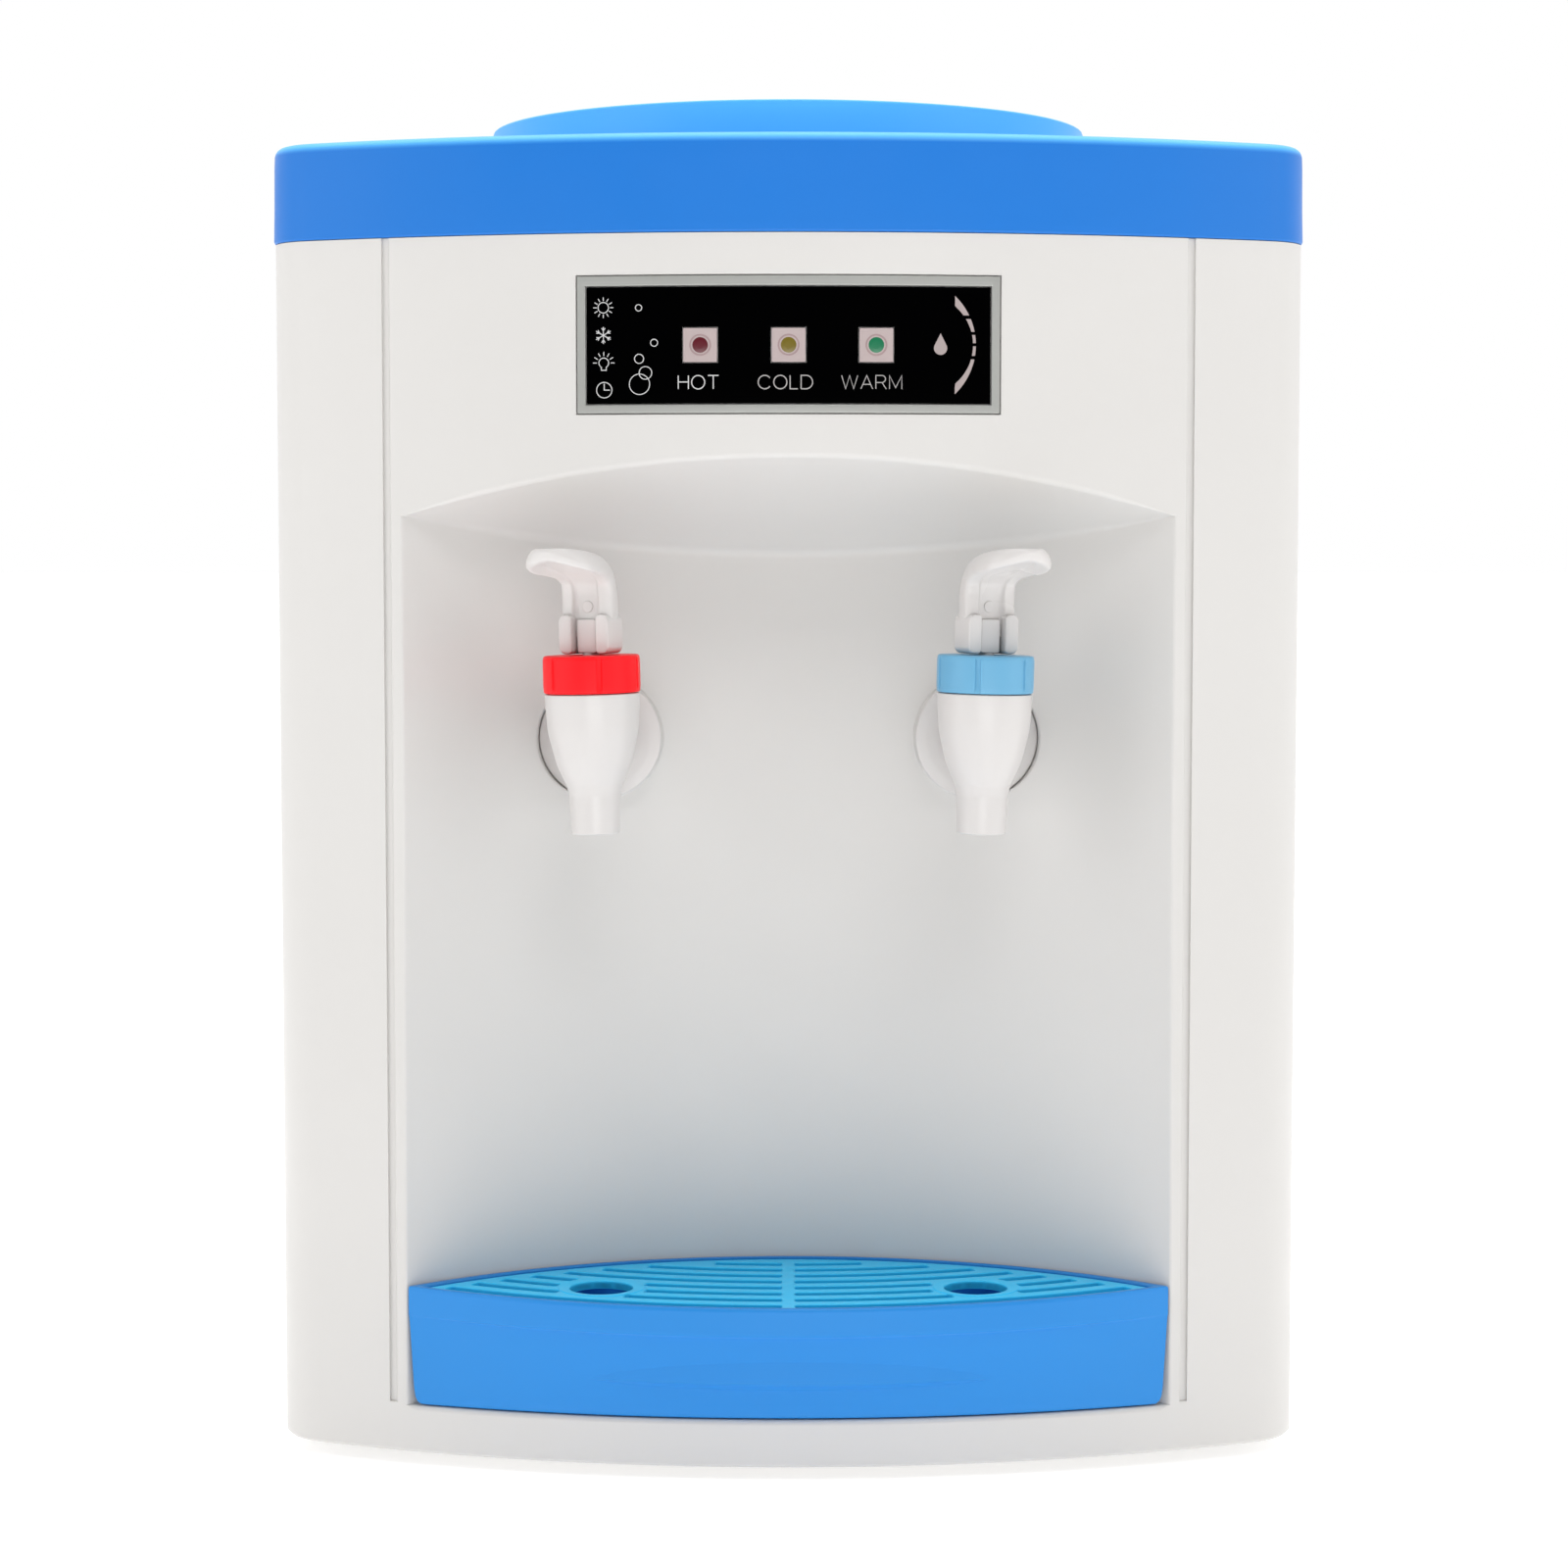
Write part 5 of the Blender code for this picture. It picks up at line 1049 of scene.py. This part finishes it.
def make_display():
    box = ((DISPLAY_LOW.x, DISPLAY_LOW.z), (DISPLAY_HIGH.x, DISPLAY_HIGH.z))
    window = (LENS_LOW.x - GAP, LENS_LOW.z - GAP, LENS_HIGH.x + GAP, LENS_HIGH.z + GAP)
    bezel = bent_panel("bezel_frame", box, [window], -0.0002, 0.0012, 0.0003, (30, 6))
    piece("bezel_frame", bezel, "bezel_silver", "case", "display_bezel")
    base = 0.0001
    box = ((LENS_LOW.x, LENS_LOW.z), (LENS_HIGH.x, LENS_HIGH.z))
    reach = LAMP_HALF + GAP
    holes = [(p.x - reach, p.z - reach, p.x + reach, p.z + reach) for p in LAMPS.values()]
    lens = bent_panel("lens", box, holes, base, 0.0012, 0.00025, (36, 6))
    piece("lens", lens, "lens_black", "case", "display_lens")
    for name, led in (("hot", "led_red"), ("cold", "led_amber"), ("warm", "led_green")):
        make_lamp(name, led)
    icons, words, gauge = bmesh.new(), bmesh.new(), bmesh.new()
    add_icons(icons, base)
    for bm, word, shift, width in (
        (icons, "HOT", 0.0005, 0.00029),
        (words, "COLD", 0.0009, 0.00030),
        (words, "WARM", 0.0013, 0.00025),
    ):
        add_word(bm, word, LAMPS[word.lower()].x - shift, base, width)
    add_gauge(gauge, base)
    add_shape(gauge, drop_outline((LENS_LOW.x + 0.1007, 0.3266), 0.0019, 0.0042), base)
    for name, bm, finish in (
        ("display_icons", icons, "print_light"),
        ("display_words", words, "print_dim"),
        ("display_gauge", gauge, "print_rose"),
    ):
        piece(name, finished(bm, name), finish, "case", slot="bezel_silver")


def make_lamp(name, led):
    """A square light guide with a round lamp in its middle and a fine ring round the lamp."""
    centre, half, thick = LAMPS[name], LAMP_HALF, 0.0020
    front = low(f"lamp_window_{name}").y
    outline = rounded(box_corners((-half, -half), (half, half), 0.0003), 3)
    tile = plate("tile", [outline], thick, 0.00015, upright(0.0))
    tile.transform(Matrix.Translation((centre.x, front + thick / 2, centre.z)))
    facing = Matrix.Translation((centre.x, front, centre.z)) @ FORWARD
    inside, outside, proud = 0.0026, 0.0031, 0.00006
    ring = [(inside, -0.0002), (inside, proud, 0.00005), (outside, proud, 0.00005), (outside, -0.0002)]
    collar = turned(f"lamp_ring_{name}", ring, 40, 3, place=facing)
    piece(f"lamp_ring_{name}", collar, "lamp_ring", "case", slot="lens_black")
    piece(f"lamp_tile_{name}", tile, "lamp_white", "case", f"lamp_window_{name}")
    dome = [(0.0, 0.00016), (0.0012, 0.00013, 0.002), (0.0023, -0.00001), (0.0023, -0.0006), (0.0, -0.0006)]
    piece(f"led_{name}", turned(f"led_{name}", dome, 40, place=facing), led, "case", slot="lens_black")


# ------------------------------------------------------------------ taps
def tap_place(label):
    """The tap's own axes: origin on the inlet's axis, z along its leaning axis."""
    side = -1 if label == "hot" else 1
    x, y, z = JOINTS[f"{label}_lever_press"]["pos_m"]
    lean = Matrix.Rotation(side * TAP_LEAN, 4, "Y")
    pivot = Vector((x, y, z))
    return Matrix.Translation(pivot) @ lean @ Matrix.Translation((0, 0, -PIVOT_RISE))


def lever_place(label):
    """The lever's own axes: origin on its pin, x along the pin, -y the way it points."""
    axis = Vector(JOINTS[f"{label}_lever_press"]["axis"]).normalized()
    up = tap_place(label).to_3x3() @ Vector((0, 0, 1))
    back = up.cross(axis).normalized()
    turn = Matrix((axis, back, up)).transposed().to_4x4()
    return Matrix.Translation(JOINTS[f"{label}_lever_press"]["pos_m"]) @ turn


def make_tap_body(label):
    name, place = f"{label}_tap_bulb", tap_place(label)
    corners = [(0.0050, -0.0258, 0.0004), (0.0070, -0.0258, 0.0006), (0.0075, -0.0145, 0.0050)]
    corners += [(0.0081, -0.0116, 0.0060), (0.0109, -0.0054, 0.0200), (0.0131, 0.0038, 0.0200)]
    corners += [(0.01365, 0.0110, 0.0200), (0.01375, 0.0148, 0.0004), (0.0119, 0.0150, 0.0003)]
    corners += [(0.0119, 0.0232, 0.0003), (0.0100, 0.0232, 0.0003), (0.0100, 0.0140)]
    corners += [(0.0115, 0.0110), (0.0112, 0.0010), (0.0085, -0.0057), (0.0050, -0.0102)]
    body = turned("bulb", corners, 72, 5, place=place)
    stop = FLANGE_Y - GAP - place.translation.y
    neck = [(0.0042, 0.0095), (0.0072, 0.0095), (0.0072, 0.0315, 0.0006), (0.0098, 0.0320, 0.0005)]
    neck += [(0.0100, stop, 0.0004), (0.0072, stop), (0.0072, 0.0660, 0.0005), (0.0042, 0.0660)]
    inlet = turned("inlet", neck, 48, 3, place=place @ BACKWARD)
    piece(name, merged(name, [body, inlet]), "tap_white", "case", f"{label}_tap_body")


CAP_GROOVE = 0.00045


def make_tap_cap(label, finish):
    """The screw cap: a ring with rounded rims and six fine upright grooves."""
    corners = [(0.0034, 0.0240), (0.0122, 0.0240), (0.0122, 0.0151), (0.0139, 0.0151, 0.0005)]
    corners += [(0.01405, 0.0170), (0.01405, 0.0245), (0.0138, 0.0259, 0.0007), (0.0034, 0.0260, 0.0003)]
    profile = rounded(corners, 4)
    phase = math.radians(12 if label == "hot" else -12)
    angles = []
    for i in range(6):
        groove = phase + math.tau * i / 6 - math.pi / 2
        for offset in (-5.5, -3.4, -2.6, -1.3, 0.0, 1.3, 2.6, 3.4, 5.5, 15.0, 22.5, 30.0, 37.5, 45.0):
            angles.append((groove + math.radians(offset), 1.0 if abs(offset) < 2.7 else 0.0))
    rows = []
    for angle, share in sorted(angles):
        row = []
        for r, z in profile:
            depth = CAP_GROOVE * share if r > 0.0130 and 0.0156 < z < 0.0253 else 0.0
            row.append(((r - depth) * math.cos(angle), (r - depth) * math.sin(angle), z))
        rows.append(row)
    name = f"{label}_cap_ring"
    piece(name, woven(name, rows, 40, tap_place(label), **WRAPPED), finish, "case", f"{label}_tap_cap")


def make_tap_flange(label):
    x, _, z = tap_place(label).translation
    back = FLANGE_Y + 0.0014
    corners = [(0.0076, FLANGE_Y + 0.0002), (0.0150, FLANGE_Y, 0.0040)]
    corners += [(FLANGE_RADIUS, FLANGE_Y + 0.0001, 0.0005), (FLANGE_RADIUS, back, 0.0003), (0.0076, back)]
    mesh = turned(f"{label}_flange_disc", corners, 80, place=Matrix.Translation((x, 0, z)) @ BACKWARD)
    piece(f"{label}_flange_disc", mesh, "tap_white", "case", f"{label}_tap_flange")


# y, z, half width, half depth, hollow's half width, hollow's depth, droop of the sides; in mm,
# up the lever's middle line from its pin
LEVER_STATIONS = (
    (1.0, -1.0, 8.1, 4.0, 4.3, 1.7, 0.0),
    (1.0, 5.0, 8.1, 4.0, 4.3, 1.7, 0.0),
    (1.0, 9.0, 8.2, 3.9, 4.2, 1.6, 0.0),
    (0.6, 12.6, 8.2, 3.6, 4.2, 1.3, 0.0),
    (-0.9, 16.0, 8.3, 3.2, 4.4, 0.9, 0.1),
    (-4.4, 18.9, 8.9, 3.0, 5.0, 0.5, 0.9),
    (-9.3, 21.0, 10.0, 2.9, 5.6, 0.4, 2.3),
    (-14.0, 22.2, 10.6, 2.8, 5.8, 0.45, 3.2),
    (-18.4, 22.8, 10.1, 2.7, 5.0, 0.4, 3.0),
    (-21.5, 22.9, 8.6, 2.5, 3.4, 0.25, 2.3),
    (-23.8, 22.8, 6.2, 2.2, 1.8, 0.1, 1.2),
    (-25.1, 22.7, 3.6, 1.6, 0.8, 0.05, 0.4),
    (-25.6, 22.6, 1.2, 0.8, 0.3, 0.02, 0.0),
)


def through(stations, steps):
    """Points along a smooth curve through stations of any number of values."""
    path = []
    for i in range(len(stations) - 1):
        four = [stations[min(max(i + k, 0), len(stations) - 1)] for k in (-1, 0, 1, 2)]
        for t in spaced(0.0, 1.0, steps)[:-1]:
            weights = (
                (-t + 2 * t * t - t**3) / 2,
                (2 - 5 * t * t + 3 * t**3) / 2,
                (t + 4 * t * t - 3 * t**3) / 2,
                (t**3 - t * t) / 2,
            )
            path.append([sum(w * v for w, v in zip(weights, values)) for values in zip(*four)])
    return path + [list(stations[-1])]


def lever_section(half_width, half_depth, hollow, depth):
    """A section with rounded edges and a hollow on its front or under side."""
    edge = min(half_depth * 0.9, 2.4)
    right = [(half_width, half_depth, half_depth), (half_width, -half_depth, edge)]
    right += [(hollow, -half_depth, 0.6), (hollow * 0.88, -half_depth + depth, 1.2)]
    left = [(-u, v, radius) for u, v, radius in reversed(right)]
    return rounded(left[3:] + right + left[:3], 4)


def lever_rings():
    path = through(LEVER_STATIONS, 4)
    rings = []
    for i, (y, z, half_width, half_depth, hollow, depth, droop) in enumerate(path):
        before, after = path[max(i - 1, 0)], path[min(i + 1, len(path) - 1)]
        along = Vector((0, after[0] - before[0], after[1] - before[1])).normalized()
        out = Vector((0, along.z, -along.y))
        ring = []
        for u, v in lever_section(half_width, half_depth, max(hollow, 0.3), max(depth, 0.05)):
            sag = droop * (u / half_width) ** 2
            ring.append((Vector((u, y, z - sag)) + out * v) / 1000)
        rings.append(ring)
    return rings


def cushion(name, box, radii, edge, place):
    """A block with rounded corners seen from the front and softened front and back edges."""
    (x0, z0), (x1, z1), (y0, y1) = box
    depths = [(y0, edge), (y0 + edge * 0.3, edge * 0.3), (y0 + edge, 0.0)]
    depths += [(y1 - edge, 0.0), (y1 - edge * 0.3, edge * 0.3), (y1, edge)]
    rings = []
    for y, inset in depths:
        corners = box_corners((x0 + inset, z0 + inset), (x1 - inset, z1 - inset))
        outline = rounded([(*c, max(r - inset, 0.1)) for c, r in zip(corners, radii)], 6)
        rings.append([Vector((x, y, z)) / 1000 for x, z in outline])
    return woven(name, rings, 50, place, **CAPPED)


def make_lever(label):
    place = lever_place(label)
    parts = [woven("arm", lever_rings(), 60, place, **CAPPED)]
    for across, radii in (((-8.2, -3.8), (3.2, 1.2, 1.3, 2.2)), ((3.8, 8.2), (1.2, 3.2, 2.2, 1.3))):
        box = ((across[0], -6.0), (across[1], 5.5), (-4.8, 4.9))
        parts.append(cushion("lug", box, radii, 0.9, place))
    web = place @ Matrix.Translation((0.0, -0.00105, 0.0076)) @ FORWARD
    spot = [(0.0, 0.0005), (0.0017, 0.0005, 0.0002), (0.0019, -0.0008), (0.0, -0.0008)]
    parts.append(turned("spot", spot, 28, place=web))
    name = f"{label}_lever_arm"
    piece(name, merged(name, parts), "tap_white", f"{label}_lever", f"{label}_tap_lever")


def make_stem(label):
    """The square head between the lever's lugs, with its shaft and spring collar."""
    box = ((-3.1, -5.7), (3.1, 4.0), (-2.6, 4.2))
    head = cushion("head", box, (0.6, 0.6, 0.6, 0.6), 0.4, lever_place(label))
    shaft = [(0.0, 0.0275), (0.0024, 0.0275, 0.0002), (0.0024, 0.0073), (0.0062, 0.0073, 0.0003)]
    shaft += [(0.0062, 0.0061, 0.0003), (0.0024, 0.0061), (0.0024, -0.0029, 0.0003), (0.0, -0.0029)]
    name = f"{label}_stem_head"
    mesh = merged(name, [head, turned("shaft", shaft, 32, place=tap_place(label))])
    piece(name, mesh, "tap_white", f"{label}_stem", f"{label}_tap_stem")


SPRING_RADIUS, SPRING_WIRE = 0.0048, 0.0006
SPRING_LOW, SPRING_HIGH = 0.0084, 0.0230


def make_spring(label):
    """The coil round the stem."""
    place, up = tap_place(label), Vector((0, 0, 1))
    turns, per_turn, sides = 4, 28, 8
    rows = []
    for i in range(turns * per_turn + 1):
        angle = math.tau * i / per_turn
        out = Vector((math.cos(angle), math.sin(angle), 0))
        centre = out * SPRING_RADIUS + up * lerp(SPRING_LOW, SPRING_HIGH, i / (turns * per_turn))
        around = [math.tau * k / sides for k in range(sides)]
        rows.append([centre + (out * math.cos(a) + up * math.sin(a)) * SPRING_WIRE for a in around])
    coil = woven(f"{label}_spring_coil", rows, 60, place, **CAPPED)
    made = piece(f"{label}_spring_coil", coil, "steel", "case", f"{label}_tap_spring")
    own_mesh(made)


def make_taps():
    for label, finish in (("hot", "hot_red"), ("cold", "cold_blue")):
        make_tap_body(label)
        make_tap_cap(label, finish)
        for make in (make_tap_flange, make_lever, make_stem, make_spring):
            make(label)


# ------------------------------------------------------------------ drip tray and grille
TRAY_LOW, TRAY_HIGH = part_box("drip_tray")
TRAY_CORNER_Y = -0.1153


def arc_radius(half_chord, sag):
    return (half_chord**2 + sag**2) / (2 * abs(sag))


def lens_outline(front, back, corner_x, steps=48):
    """Two arcs that meet in sharp corners."""

    def one_arc(middle_y):
        sag = TRAY_CORNER_Y - middle_y
        radius = arc_radius(corner_x, sag)
        centre_y = middle_y + math.copysign(radius, sag)
        xs = [corner_x * math.sin(a) for a in spaced(-math.pi / 2, math.pi / 2, steps)]
        return [(x, centre_y - math.copysign(math.sqrt(radius**2 - x * x), sag)) for x in xs]

    return one_arc(front) + one_arc(back)[-2:0:-1]


def make_drip_tray():
    corner, lip, back = TRAY_HIGH.x + 0.0003, TRAY_LOW.y, TRAY_HIGH.y
    bottom, top = TRAY_LOW.z, TRAY_HIGH.z
    foot_y = FRONT_Y + GAP
    step_z = 0.0448
    # how far the front is drawn in and the corners too, and the height, up the outside to the step
    side = ((0.0012, 0.0048, 0.0), (0.0005, 0.0034, 0.0002), (0.0001, 0.0024, 0.0010))
    side += ((0.0, 0.0018, 0.0024), (0.0, 0.0014, 0.0050), (0.0, 0.0002, step_z - 0.0008 - bottom))
    rings = []
    for drawn_in, inset, rise in side:
        front = lerp(foot_y, lip + 0.0024, rise / (step_z - bottom)) + drawn_in
        rings.append((front, back, corner - inset, bottom + rise))
    # what the front, the back and the corners are drawn in by, and the height, over the lip and inside
    over = [(0.0023, 0.0, 0.0001, step_z - 0.0002), (0.0018, 0.0, 0.0001, step_z + 0.0001)]
    over += [(0.0006, 0.0, 0.0, step_z + 0.0003), (0.0003, 0.0, 0.0, step_z + 0.0007)]
    over += [(0.0002, 0.0, 0.0, step_z + 0.0016), (0.0, 0.0, 0.0, top - 0.0014)]
    over += [(0.0001, 0.0, 0.0, top - 0.0007), (0.0004, 0.0001, 0.0002, top - 0.0002)]
    over += [(0.0009, 0.0002, 0.0006, top), (0.0016, 0.0009, 0.0030, top)]
    over += [(0.0021, 0.0012, 0.0042, top - 0.0004), (0.0022, 0.0013, 0.0046, top - 0.0028)]
    over += [(0.0050, 0.0042, 0.0110, top - 0.0034), (0.0062, 0.0048, 0.0130, 0.0300)]
    rings += [(lip + front, back - rear, corner - inset, z) for front, rear, inset, z in over]
    rings.append((FRONT_Y + 0.0060, back - 0.0060, corner - 0.0150, bottom + 0.0030))
    rings.append((FRONT_Y + 0.0080, back - 0.0080, corner - 0.0200, bottom + 0.0022))
    rows = [[(x, y, z) for x, y in lens_outline(a, b, c)] for a, b, c, z in rings]
    piece("tray_bowl", woven("tray_bowl", rows, 42, **CAPPED), "tray_blue", "drip_tray", "drip_tray")


SLOT_PITCH = 0.0084
SLOT_HALF = 0.0021
SPINE_HALF = 0.0019
RING_RADIUS = 0.0128
HOLE_RADIUS = 0.0093
HOLE_X, HOLE_Y = 0.055, -0.115


def slot_spans(radius, centre_y, limit):
    """Stretches of one slot's arc, in angle, that stay clear of the drain ring and the rear rim."""
    spans, start = [], None
    last = 0.0
    for angle in spaced(math.asin(SPINE_HALF / radius), math.pi / 4, 900):
        x, y = radius * math.sin(angle), centre_y - radius * math.cos(angle)
        clear = math.hypot(x - HOLE_X, y - HOLE_Y) > RING_RADIUS + 0.0006 and limit(x, y)
        if clear and start is None:
            start = angle
        if not clear and start is not None:
            spans.append((start, last))
            start = None
        last = angle
    return [(a, b) for a, b in spans if (b - a) * radius > 0.006]


def make_grille():
    bottom, top = low("drip_grille").z, high("drip_grille").z
    inset = 0.0025
    lip, back, corner = TRAY_LOW.y, TRAY_HIGH.y, TRAY_HIGH.x
    lip_radius = arc_radius(corner, TRAY_CORNER_Y - lip)
    rear_radius = arc_radius(corner, back - TRAY_CORNER_Y)
    centre_y, rear_centre = lip + lip_radius, back - rear_radius

    def limit(x, y):
        return math.hypot(x, y - rear_centre) < rear_radius - 0.0070

    loops = [lens_outline(lip + inset, back - inset, corner - 2.1 * inset, 40)]
    for i in range(8):
        radius = lip_radius - 0.0061 - SLOT_PITCH * i
        for start, end in slot_spans(radius, centre_y, limit):
            angles = spaced(start, end, max(3, round((end - start) * radius / 0.006)))
            loops += [arc_slot(radius, centre_y, angles, side) for side in (-1, 1)]
    holes = (-HOLE_X, HOLE_X)
    loops += [ring_loop((x, HOLE_Y), HOLE_RADIUS, 56) for x in holes]
    thickness, skin = top - bottom, 0.0003
    middle_plane = Matrix.Translation((0, 0, bottom + thickness / 2 - skin / 2))
    parts = [plate("grille_plate", loops, thickness - skin, 0.0004, middle_plane)]
    ring = [(HOLE_RADIUS, bottom + 0.0002), (RING_RADIUS, bottom + 0.0002)]
    ring += [(RING_RADIUS, top, 0.0004), (HOLE_RADIUS, top - 0.0003, 0.0008)]
    parts += [turned("ring", ring, 56, place=Matrix.Translation((x, HOLE_Y, 0))) for x in holes]
    mesh = merged("grille_plate", parts)
    # the grille wears the lighter, painted-light copy of the tray's blue
    piece("grille_plate", mesh, "grille_blue", "drip_grille", "drip_grille", slot="tray_blue")


def arc_slot(radius, centre_y, angles, side):
    """Outline of one curved slot with softly squared ends."""
    soft = 0.0008
    a0, b0 = angles[0], angles[-1]
    a1, b1 = a0 + soft / radius, b0 - soft / radius
    a2, b2 = a0 + (a1 - a0) * 0.3, b0 + (b1 - b0) * 0.3
    outer, inner = radius + SLOT_HALF, radius - SLOT_HALF
    between = [a for a in angles if a1 < a < b1]
    path = [(inner + soft, a0), (outer - soft, a0), (outer - soft * 0.3, a2), (outer, a1)]
    path += [(outer, a) for a in between]
    path += [(outer, b1), (outer - soft * 0.3, b2), (outer - soft, b0), (inner + soft, b0)]
    path += [(inner + soft * 0.3, b2), (inner, b1)]
    path += [(inner, a) for a in reversed(between)]
    path += [(inner, a1), (inner + soft * 0.3, a2)]
    return [(side * r * math.sin(a), centre_y - r * math.cos(a)) for r, a in path]


# ------------------------------------------------------------------ rear fittings and feet
def make_switch_frame():
    near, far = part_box("switch_bezel")
    centre, half = (near + far) / 2, (far - near) / 2
    face = 0.0017

    def box(x, z):
        return (centre.x - x, centre.z - z), (centre.x + x, centre.z + z)

    outline = rounded(box_corners((-half.x, -half.z), (half.x, half.z), 0.002), 5)
    loops = [[(centre.x + u, centre.z + v) for u, v in outline]]
    for shift in (-0.0105, 0.0105):
        loops.append(slot_loop((centre.x + shift, centre.z), 0.0101, 0.0108, square=0.04, steps=3))
    parts = [plate("rim", loops, face, 0.0004, upright(far.y - face / 2))]
    parts.append(frame_ring("walls", box(0.0222, 0.0122), box(0.0206, 0.0108), near.y, far.y - face))
    parts.append(block("divider", *box(0.0004, 0.011), near.y, far.y - face))
    parts.append(block("floor", *box(0.021, 0.011), near.y, near.y + 0.002))
    piece("switch_frame", merged("switch_frame", parts), "black_plastic", "case", "switch_bezel")


def make_rear_fittings():
    make_switch_frame()
    for label in ("hot", "cold"):
        make_rocker(label)
    inside, outside = COVER_LOW.y - GAP, BACK_Y + GAP
    near, far = (corner.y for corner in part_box("cord_gland"))
    gland = [(0.0035, near), (0.0088, near, 0.0005), (0.0088, inside, 0.0002), (0.0065, inside)]
    gland += [(0.0065, outside), (0.0100, outside, 0.0002), (0.0098, far - 0.0010, 0.0006)]
    gland += [(0.0072, far, 0.0008), (0.0048, far, 0.0006), (0.0035, far - 0.0012, 0.0004)]
    near, far = (corner.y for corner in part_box("drain_plug"))
    plug = [(0.0, near), (0.0040, near, 0.0005), (0.0047, near + 0.0012), (0.0047, outside)]
    plug += [(0.0092, outside, 0.0002), (0.0090, far - 0.0004, 0.0005), (0.0062, far)]
    plug += [(0.0058, far - 0.0005), (0.0, far - 0.0005)]
    fittings = (("gland_body", gland, "case", "cord_gland"), ("plug_body", plug, "drain_plug", "drain_plug"))
    for name, corners, body, node in fittings:
        place = Matrix.Translation((middle(node).x, 0, middle(node).z)) @ BACKWARD
        piece(name, turned(name, corners, 48, place=place), "black_plastic", body, node)


def make_rocker(label):
    """A rocker with a shallow V face and soft edges."""
    node, name = f"{label}_switch", f"{label}_rocker"
    half = (high(node).x - low(node).x) / 2
    section = [(0.0068, -0.0092, 0.0007), (0.0055, 0.0, 0.006), (0.0068, 0.0092, 0.0007)]
    section += [(-0.0030, 0.0080, 0.0006), (-0.0030, -0.0080, 0.0006)]
    path = rounded(section, 4)
    tilt = Matrix.Rotation(math.radians(8), 4, "X")
    edges = [(-half, 0.0004), (-half + 0.0001, 0.0001), (-half + 0.0004, 0.0)]
    rows = []
    for x, shrink in edges + [(-x, shrink) for x, shrink in reversed(edges)]:
        smaller = [(y - math.copysign(shrink, y), z - math.copysign(min(shrink, abs(z)), z)) for y, z in path]
        rows.append([(x, y, z) for y, z in smaller])
    place = Matrix.Translation(JOINTS[f"{node}_rock"]["pos_m"]) @ tilt
    finish = "hot_red" if label == "hot" else "cold_blue"
    piece(name, woven(name, rows, place=place, **CAPPED), finish, node, node)


def make_feet():
    for where in ("front_left", "front_right", "rear_left", "rear_right"):
        node, name = f"foot_{where}", f"foot_pad_{where}"
        tip, top = high(node).z, SKIRT_Z - GAP
        corners = [(0.0, 0.0), (0.0062, 0.0, 0.0004), (0.0066, 0.0003), (0.0072, 0.0, 0.0002)]
        corners += [(0.0080, 0.0010, 0.0006), (0.0078, top, 0.0004), (0.0025, top)]
        corners += [(0.0025, 0.0073), (0.0036, 0.0073), (0.0030, tip), (0.0, tip)]
        place = Matrix.Translation((middle(node).x, middle(node).y, 0))
        piece(name, turned(name, corners, 40, 3, place=place), "rubber", "case", node)


# ------------------------------------------------------------------ floor, light and camera
def make_stage():
    mesh = bpy.data.meshes.new("floor")
    bm = bmesh.new()
    bmesh.ops.create_grid(bm, x_segments=2, y_segments=2, size=40.0)
    bm.to_mesh(mesh)
    bm.free()
    floor = linked("floor", mesh)
    paint = Nodes("pale_floor", (0.93, 0.93, 0.93), 0.6)
    paint.mottle(paint.noise(2.0), 0.01)
    glow = {"Emission Color": (1.0, 1.0, 1.0, 1.0), "Emission Strength": 0.42}
    paint.shade({"Specular IOR Level": 0.1, **glow})
    mesh.materials.append(paint.material)


def area_light(name, place, aim, size, power):
    data = bpy.data.lights.new(name, "AREA")
    data.shape = "RECTANGLE"
    data.size, data.size_y = size
    data.energy = power
    lamp = linked(name, data)
    lamp.location = place
    lamp.rotation_mode = "QUATERNION"
    lamp.rotation_quaternion = (Vector(aim) - Vector(place)).to_track_quat("-Z", "Y")


def make_light():
    world = bpy.data.worlds.new("studio")
    bpy.context.scene.world = world
    world.use_nodes = True
    tree = world.node_tree
    place = add_node(tree, "TexCoord", "Generated", {})
    ahead = add_node(tree, "SeparateXYZ", "Y", {"Vector": place})
    ramp = {"From Min": -0.75, "From Max": 0.10, "To Min": 0.12, "To Max": 1.0, "Value": ahead}
    strength = add_node(tree, "MapRange", "Result", ramp)
    fill(tree, tree.nodes["Background"].inputs, {"Strength": strength, "Color": (1.0, 1.0, 1.0, 1.0)})
    area_light("soft_left", (-1.5, -0.9, 0.75), (0, -0.1, 0.15), (0.9, 1.2), 5.0)
    area_light("soft_right", (1.5, -0.9, 0.75), (0, -0.1, 0.15), (0.9, 1.2), 3.8)
    area_light("soft_low", (0.1, -1.25, 0.06), (0, -0.05, 0.09), (0.7, 0.1), 1.3)
    area_light("soft_high", (0.15, -0.85, 1.05), (0, -0.08, 0.08), (0.5, 0.3), 2.2)
    area_light("soft_top", (0.0, 0.1, 1.6), (0, 0.0, 0.2), (1.6, 1.2), 14.0)
    bpy.context.scene.view_settings.view_transform = "Standard"


def make_camera():
    data = bpy.data.cameras.new("camera")
    data.lens = 79.9
    data.sensor_width = 36.0
    camera = linked("camera", data)
    camera.location = (-0.0013, -1.12575, 0.26924)
    camera.rotation_euler = (math.radians(90.0) - 0.067, 0.0, 0.0)
    bpy.context.scene.camera = camera


# ------------------------------------------------------------------ assembly
make_materials()
paint_nodes()
make_camera()
make_light()
make_stage()
make_front_shell()
make_rear_shell()
make_rear_cover()
make_lid()
make_bottle_seat()
make_display()
make_taps()
make_drip_tray()
make_grille()
make_rear_fittings()
make_feet()
